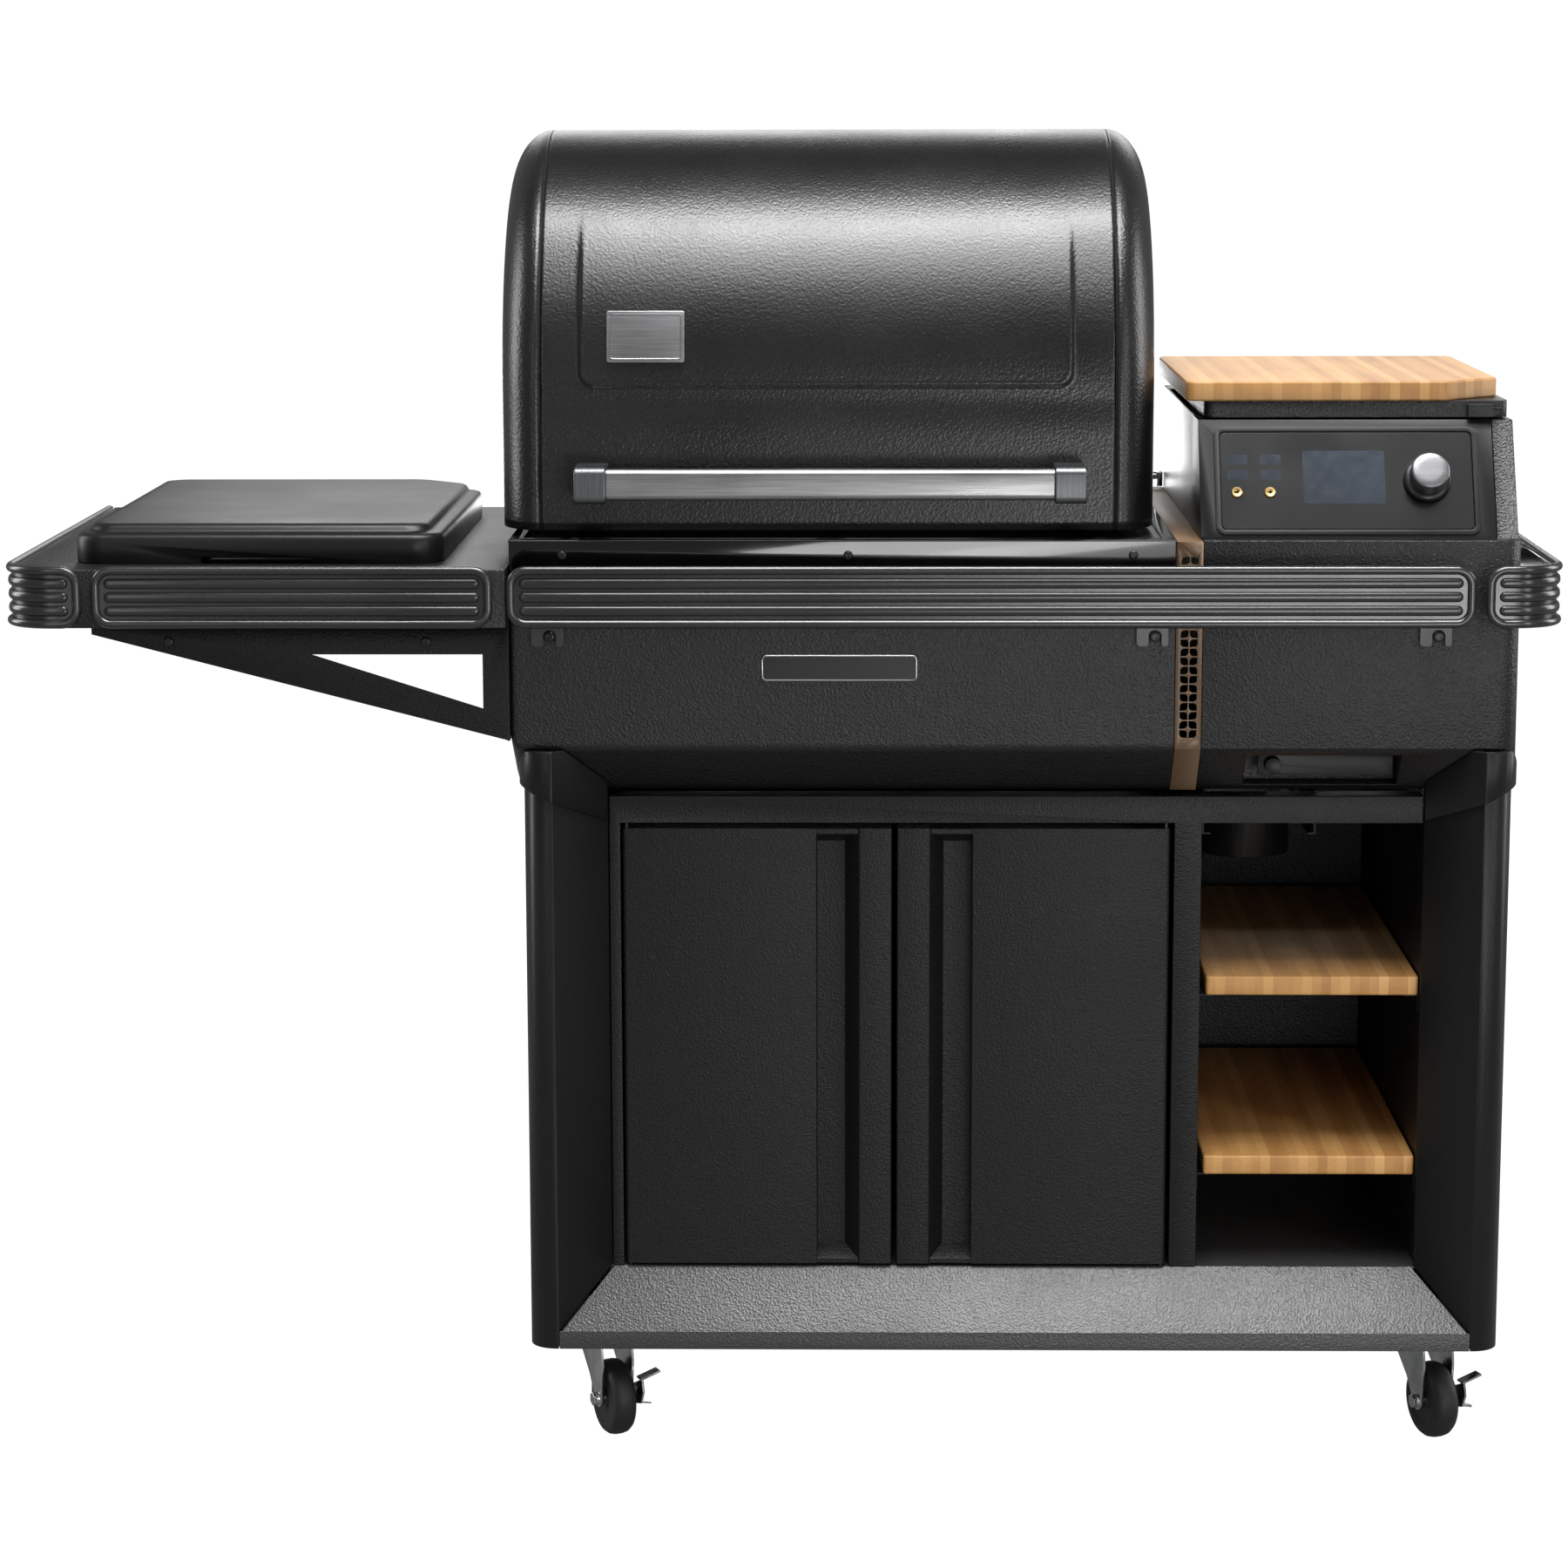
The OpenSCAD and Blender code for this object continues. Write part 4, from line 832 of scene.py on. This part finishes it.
def rails():
    """The two front rails, the two corner rails and the stays of the right one."""
    rail("rail_main", straight_path(-262.7, 661.6), ("front_rails",))
    rail("rail_shelf", straight_path(-660.5, -275.6))
    rail("rail_corner_right", corner_path(671, 1), ("corner_rails",))
    rail("rail_corner_left", corner_path(670, -1))
    stays = bmesh.new()
    for y in (-150, 60, 240):
        box(stays, (711, y, 846), (743, y + 20, 862))
    add_piece("rail_stays", stays, "cart_paint", bevel=1.0)


def rail_tabs():
    """Stamped tabs behind the main rail, each with two lobes round its screw."""
    bm = bmesh.new()
    for x in (-224, 359, 631):
        outline = fillet([
            (x - 18, 864, 3), (x - 18, 806, 4), (x - 6, 806, 3), (x - 6, 822, 5.9),
            (x + 6, 822, 5.9), (x + 6, 806, 3), (x + 13, 806, 3), (x + 13, 864, 3)])
        prism(bm, outline, "y", -282.2, -280.2)
        box(bm, (x - 10, -311, 846), (x + 10, -282.2, 862))
    add_piece("rail_tab_plates", bm, "zinc", finish="tab_grey", bevel=0.5)


def screws():
    """Button-head screws with a round socket, and the door pivots."""
    bm = bmesh.new()
    heads = [(x, -280.2, 894.5, 4.5) for x in (-211, 64, 337.5)]
    heads += [(x, -282.2, 816, 5.5) for x in (-224, 359, 631)]
    heads += [(x, -281.0, 811, 5.0) for x in (-592.5, -343.5)]
    for x, y, z, r in heads:
        profile = [(0, 0.9), (0.32 * r, 0.9), (0.36 * r, 2.2), (0.55 * r, 2.4),
                   (0.8 * r, 2.0), (0.95 * r, 1.2), (r, 0.1), (r, 0)]
        lathe(bm, profile, spun((x, y, z), (0, -1, 0)), 28)
    for x in (-154, 376):
        for z in (175, 613):
            lathe(bm, [(1.9, 0), (1.9, 12)], spun((x, -234, z), (0, 0, 1)), 20)
    add_piece("screw_heads", bm, "screw_black", ROOT, ("fasteners",), sharp=40)


# ---- Doors ----

def door(name, node, mirrored):
    """Pan door with a finger groove: a steep wall, a flat floor and a ramp back to the front."""
    low, high = box_mm(node)
    w, t = high.x - low.x, high.y - low.y
    g, deep = w - 74, t - 5

    def placed(outline):
        return [(low.x + (w - x if mirrored else x), low.y + y) for x, y in outline]

    plan = fillet([(0, 0, 4), (g, 0, 1.2), (g + 0.2, deep, 0.8), (g + 28, deep, 2.5),
                   (g + 42, 0, 2.5), (w, 0, 2.0), (w, t, 1.0), (0, t, 1.0)], 4)
    bm = bmesh.new()
    prism(bm, placed(plan), "z", low.z, high.z)
    add_piece(name, bm, "door_paint", body_of(node), (node,), bevel=1.0, segments=3)
    caps = bmesh.new()
    plug = [(g - 0.5, 1.0), (g - 0.5, deep + 0.5), (g + 28, deep + 0.5), (g + 41, 1.0)]
    shallow = [(g - 0.5, deep - 1), (g - 0.5, deep + 0.5), (g + 28, deep + 0.5), (g + 29, deep - 1)]
    for edge, up in ((low.z + 0.6, 1), (high.z - 0.6, -1)):
        levels = [(edge, plug), (edge + up * 5, plug), (edge + up * 15, shallow)]
        loft(caps, [[(x, y, z) for x, y in placed(outline)] for z, outline in levels])
    add_piece(name + "_groove_ends", caps, "door_paint", body_of(node), bevel=0.5)


# ---- Control panel ----

FACE = {"foot": (-264.0, 908.0), "lean": 27.6}


def on_face(x, depth, z):
    """Point of the leaning control face: x across, depth out of it, z up it."""
    a = radians(FACE["lean"])
    y = FACE["foot"][0] - depth * cos(a) + z * sin(a)
    return Vector((x, y, FACE["foot"][1] + depth * sin(a) + z * cos(a)))


def face_normal():
    a = radians(FACE["lean"])
    return Vector((0, -cos(a), sin(a)))


def face_plate(bm, outline, low, high):
    """Plate on the control face between two depths."""
    loft(bm, [[on_face(x, d, z) for x, z in outline] for d in (low, high)])


def control_panel():
    """Touch glass with blank fields, two probe sockets and the knob, on the leaning face."""
    refined("control_housing", "smooth_paint", 1.4, 3)
    glass = bmesh.new()
    face_plate(glass, fillet([(424, 10, 4.5), (666, 10, 4.5), (666, 110, 4.5), (424, 110, 4.5)]), -1.2, 1.5)
    add_piece("touch_glass", glass, "panel_glass", ROOT, ("control_glass",), bevel=0.3, segments=2)
    screen = bmesh.new()
    face_plate(screen, fillet([(503, 36, 2), (582, 36, 2), (582, 91, 2), (503, 91, 2)]), 1.2, 1.56)
    add_piece("display_field", screen, "panel_glass", finish="display")
    marks = bmesh.new()
    for column in (440, 472):
        for row in (66, 82):
            outline = fillet([(column - 10, row - 5, 1.5), (column + 10, row - 5, 1.5),
                              (column + 10, row + 5, 1.5), (column - 10, row + 5, 1.5)])
            face_plate(marks, outline, 1.2, 1.54)
    add_piece("touch_fields", marks, "panel_glass", finish="display")
    jacks = bmesh.new()
    for x in (439, 471):
        profile = [(1.75, -16), (1.75, 3.1), (2.6, 3.6), (4.6, 3.6),
                   (5.4, 2.9), (6, 1.6), (3.2, 1.6), (3.2, -16)]
        lathe(jacks, profile, spun(on_face(x, 0, 47.4), face_normal()), 32)
    add_piece("probe_sockets", jacks, "jack_brass", ROOT, ("probe_jacks",), sharp=40)
    cap = bmesh.new()
    place = spun(on_face(622.5, 0, 60), face_normal())
    profile = [(15.5, 8), (18.5, 8.6), (18.5, 27.2), (17.6, 28.6), (16, 29.2), (10, 29.35), (0, 29.4)]
    lathe(cap, profile, place, 64)
    add_piece("knob_cap", cap, "knob_metal", "knob_body", ("knob",), sharp=50)
    collar = bmesh.new()
    profile = [(3.06, 3.4), (22.2, 3.4), (23, 4.2), (23, 6.2), (21.5, 8), (18.0, 9.2), (3.06, 9.2)]
    lathe(collar, profile, place, 64)
    add_piece("knob_collar", collar, "knob_metal", "knob_body", finish="knob_black", sharp=50)
    groove = bmesh.new()
    lathe(groove, [(18.9, 12), (18.9, 13), (18.4, 13), (18.4, 12)], place, 64)
    add_piece("knob_groove", groove, "knob_metal", "knob_body", finish="knob_black")


# ---- Shelf and cooktop ----

def cover_ring(g, z):
    """Outline of the cooktop cover drawn in by g, at height z."""
    x0, x1, y0, y1 = -687 + g, -329 - g, -262 + g, 222 - g
    r = max(30 - 0.5 * g, 4)
    corners = [(x0, y0, r), (x1, y0, r), (x1, y1 - 45, 14), (x1 - 45, y1, 14), (x0, y1, r)]
    return [(x, y, z) for x, y in fillet(corners, 8)]


def cooktop_cover():
    """Stepped pan over the cooktop, with a finger notch cut in its front edge."""
    bm = bmesh.new()
    levels = [(3, 885), (2.6, 884.3), (0.6, 884.3), (0, 885.2), (0, 905), (0.7, 909), (2.6, 911.6),
              (5.5, 912.8), (9.5, 913.3), (12, 914.2), (13.4, 916.4), (15, 919.3), (18, 921.2), (24, 922.0)]
    loft(bm, [cover_ring(g, z) for g, z in levels], cap_start=False)
    inside = [cover_ring(g, z) for g, z in ((24, 918.5), (16, 917), (5.5, 910), (3, 905), (3, 885))]
    loft(bm, inside, cap_end=False)
    bmesh.ops.remove_doubles(bm, verts=bm.verts, dist=0.02 * MM)
    piece = add_piece("cover_pan", bm, "body_paint", "cover", ("cooktop_cover",), "smooth_paint", 50)
    cutter = bmesh.new()
    box(cutter, (-562, -270, 880), (-454, -255, 891))
    tool = make_object("notch_tool", cutter, finishes["smooth_paint"])
    cut = piece.modifiers.new("finger_notch", "BOOLEAN")
    cut.object = tool
    cut.solver = "EXACT"
    apply_modifiers(piece)
    bpy.data.objects.remove(tool)


def apply_modifiers(piece):
    """Bakes a piece's modifiers into its mesh."""
    bpy.context.view_layer.update()
    graph = bpy.context.evaluated_depsgraph_get()
    baked = bpy.data.meshes.new_from_object(piece.evaluated_get(graph))
    piece.modifiers.clear()
    piece.data = baked


# ---- Casters ----

def caster(key, x, y, angle):
    """Wheel and fork trim of one caster; the swivel axis passes through x, y."""
    turn = Matrix.Translation((x, y, 0)) @ Matrix.Rotation(angle, 4, "Z")
    hub = turn @ Matrix.Translation((0, -20, 38)) @ Matrix.Rotation(radians(90), 4, "Y")
    tyre = bmesh.new()
    half = [(38, 3), (37, 7.5), (34.5, 10.6), (31, 11.8), (27, 11.6), (24, 11)]
    profile = [(r, -h) for r, h in reversed(half)] + half
    lathe(tyre, profile, hub, 72)
    add_piece("tyre_" + key, tyre, "caster_rubber", "wheel_" + key, ("caster_wheel_" + key,), sharp=50)
    core = bmesh.new()
    half = [(24.4, 11.3), (23, 8.2), (10.5, 8.6), (10.5, 11), (9.5, 12), (4.1, 12)]
    lathe(core, [(r, -h) for r, h in reversed(half)] + half, hub, 48)
    add_piece("hub_" + key, core, "caster_rubber", "wheel_" + key, finish="knob_black", sharp=40)
    refined("caster_fork_" + key, "zinc", 0.7, 2)
    nuts = bmesh.new()
    corners = [radians(60 * i) for i in range(6)]
    for start, end in ((-19.5, -23.5), (24.0, 28.0)):
        loft(nuts, [[hub @ Vector((7 * cos(a), 7 * sin(a), h)) for a in corners] for h in (start, end)])
    add_piece("axle_nuts_" + key, nuts, "zinc", "fork_" + key, bevel=0.6)


def casters():
    """Four casters at the record's swivel axes, two of them with brake pedals."""
    joints = {joint["name"]: joint for joint in frame["record"]["behaviour"]["joints"]}
    for key in ("fl", "fr", "rl", "rr"):
        x, y, _ = joints["swivel_" + key]["pos_m"]
        axle = joints["roll_" + key]["axis"]
        caster(key, x / MM, y / MM, atan2(axle[1], axle[0]))
    refined("brake_pedal_left", "zinc", 0.6, 2)
    refined("brake_pedal_right", "zinc", 0.6, 2)
    refined("caster_plates", "zinc", 0.7, 2)


# ---- Boards, cart, hopper, shelf and inner parts ----

SILL_SLOPE = 1.1  # rise of the sill over its depth
LEG_FACE = 29.0  # width of a leg's flat front


def board_pieces():
    """Bamboo board on the hopper lid and the two bay shelves."""
    # Top board and bay shelves take the darker and brighter bamboo copies: painted shade and painted light.
    refined("bamboo_board", "bamboo", 2.2, 4, finish="bamboo_top_painted_darker")
    refined("bay_shelves", "bamboo", 2.2, 4)


def sill_wedges():
    """Near-black wedges behind the narrow gaps between the sill and the legs: painted shade in the gaps."""
    wedges = bmesh.new()
    for node, side in (("left_side_panel", 1), ("right_side_panel", -1)):
        panel_low, panel_high = box_mm(node)
        edge = panel_low.x + LEG_FACE if side > 0 else panel_high.x - LEG_FACE
        y, z, near, far, lip = panel_low.y, panel_low.z, 5, 30, 13
        outline = [(y + near, z + 1), (y + far, z + 1),
                   (y + far, z + lip + far * SILL_SLOPE), (y + near, z + lip + near * SILL_SLOPE)]
        prism(wedges, outline, "x", *sorted((edge - side * 4, edge + side * far)))
    add_piece("leg_gap_painted_shade", wedges, "cart_paint", finish="painted_shade_black")


def sheet_metal():
    """Copies of CAD nodes with rounded edges, and the painted-shade wedges at the sill's ends."""
    # Base frame in the brightened black: painted light on the sill.
    refined("base_frame", "cart_paint", 0.8, finish="frame_paint_painted_light")
    sill_wedges()
    for node in ("cabinet_shell", "face_frame", "shelf_brackets"):
        refined(node, "cart_paint", 0.8)
    for node in ("left_side_panel", "right_side_panel"):
        refined(node, "cart_paint", 0.8, finish="leg_paint")
    refined("leg_caps", "smooth_paint", 1.0)
    for node in ("hopper_shell", "side_shelf", "exhaust_duct", "hopper_lid"):
        refined(node, "body_paint", 0.9)
    refined("firebox_rim", "enamel", 0.7)
    refined("vent_band", "bronze", 0.25, 1)
    refined("cooktop", "cooktop_glass", 0.8)
    refined("hinge_hardware", "zinc", 0.4)
    refined("inner_brackets", "zinc", 0.4, finish="cart_paint")
    refined("cleanout_gate", "zinc", 0.5, finish="smooth_paint")
    refined("grease_keg", "brushed_trim", 0.6, finish="smooth_paint")


def inner_parts():
    """CAD nodes that stay as they are, with their own finish."""
    plain = {"cooking_grates": "grate_steel", "knob_shaft": "zinc"}
    for node in ("firebox_liner", "firepot", "heat_baffle", "drip_tray", "lid_liner", "hopper_bin", "auger",
                 "auger_tube"):
        plain[node] = "inner_steel"
    for node in ("drive_motors", "fan_housing", "fan_impeller"):
        plain[node] = "motor_black"
    for node, slot in plain.items():
        for place in nodes[node].material_slots:
            place.material = finishes[slot]


add_camera()
finishes = make_finishes()
add_studio()
lid_barrel()
lid_ends()
handle()
badge()
firebox()
name_plate()
rails()
rail_tabs()
screws()
door("door_left", "left_door", False)
door("door_right", "right_door", True)
control_panel()
cooktop_cover()
casters()
board_pieces()
sheet_metal()
inner_parts()
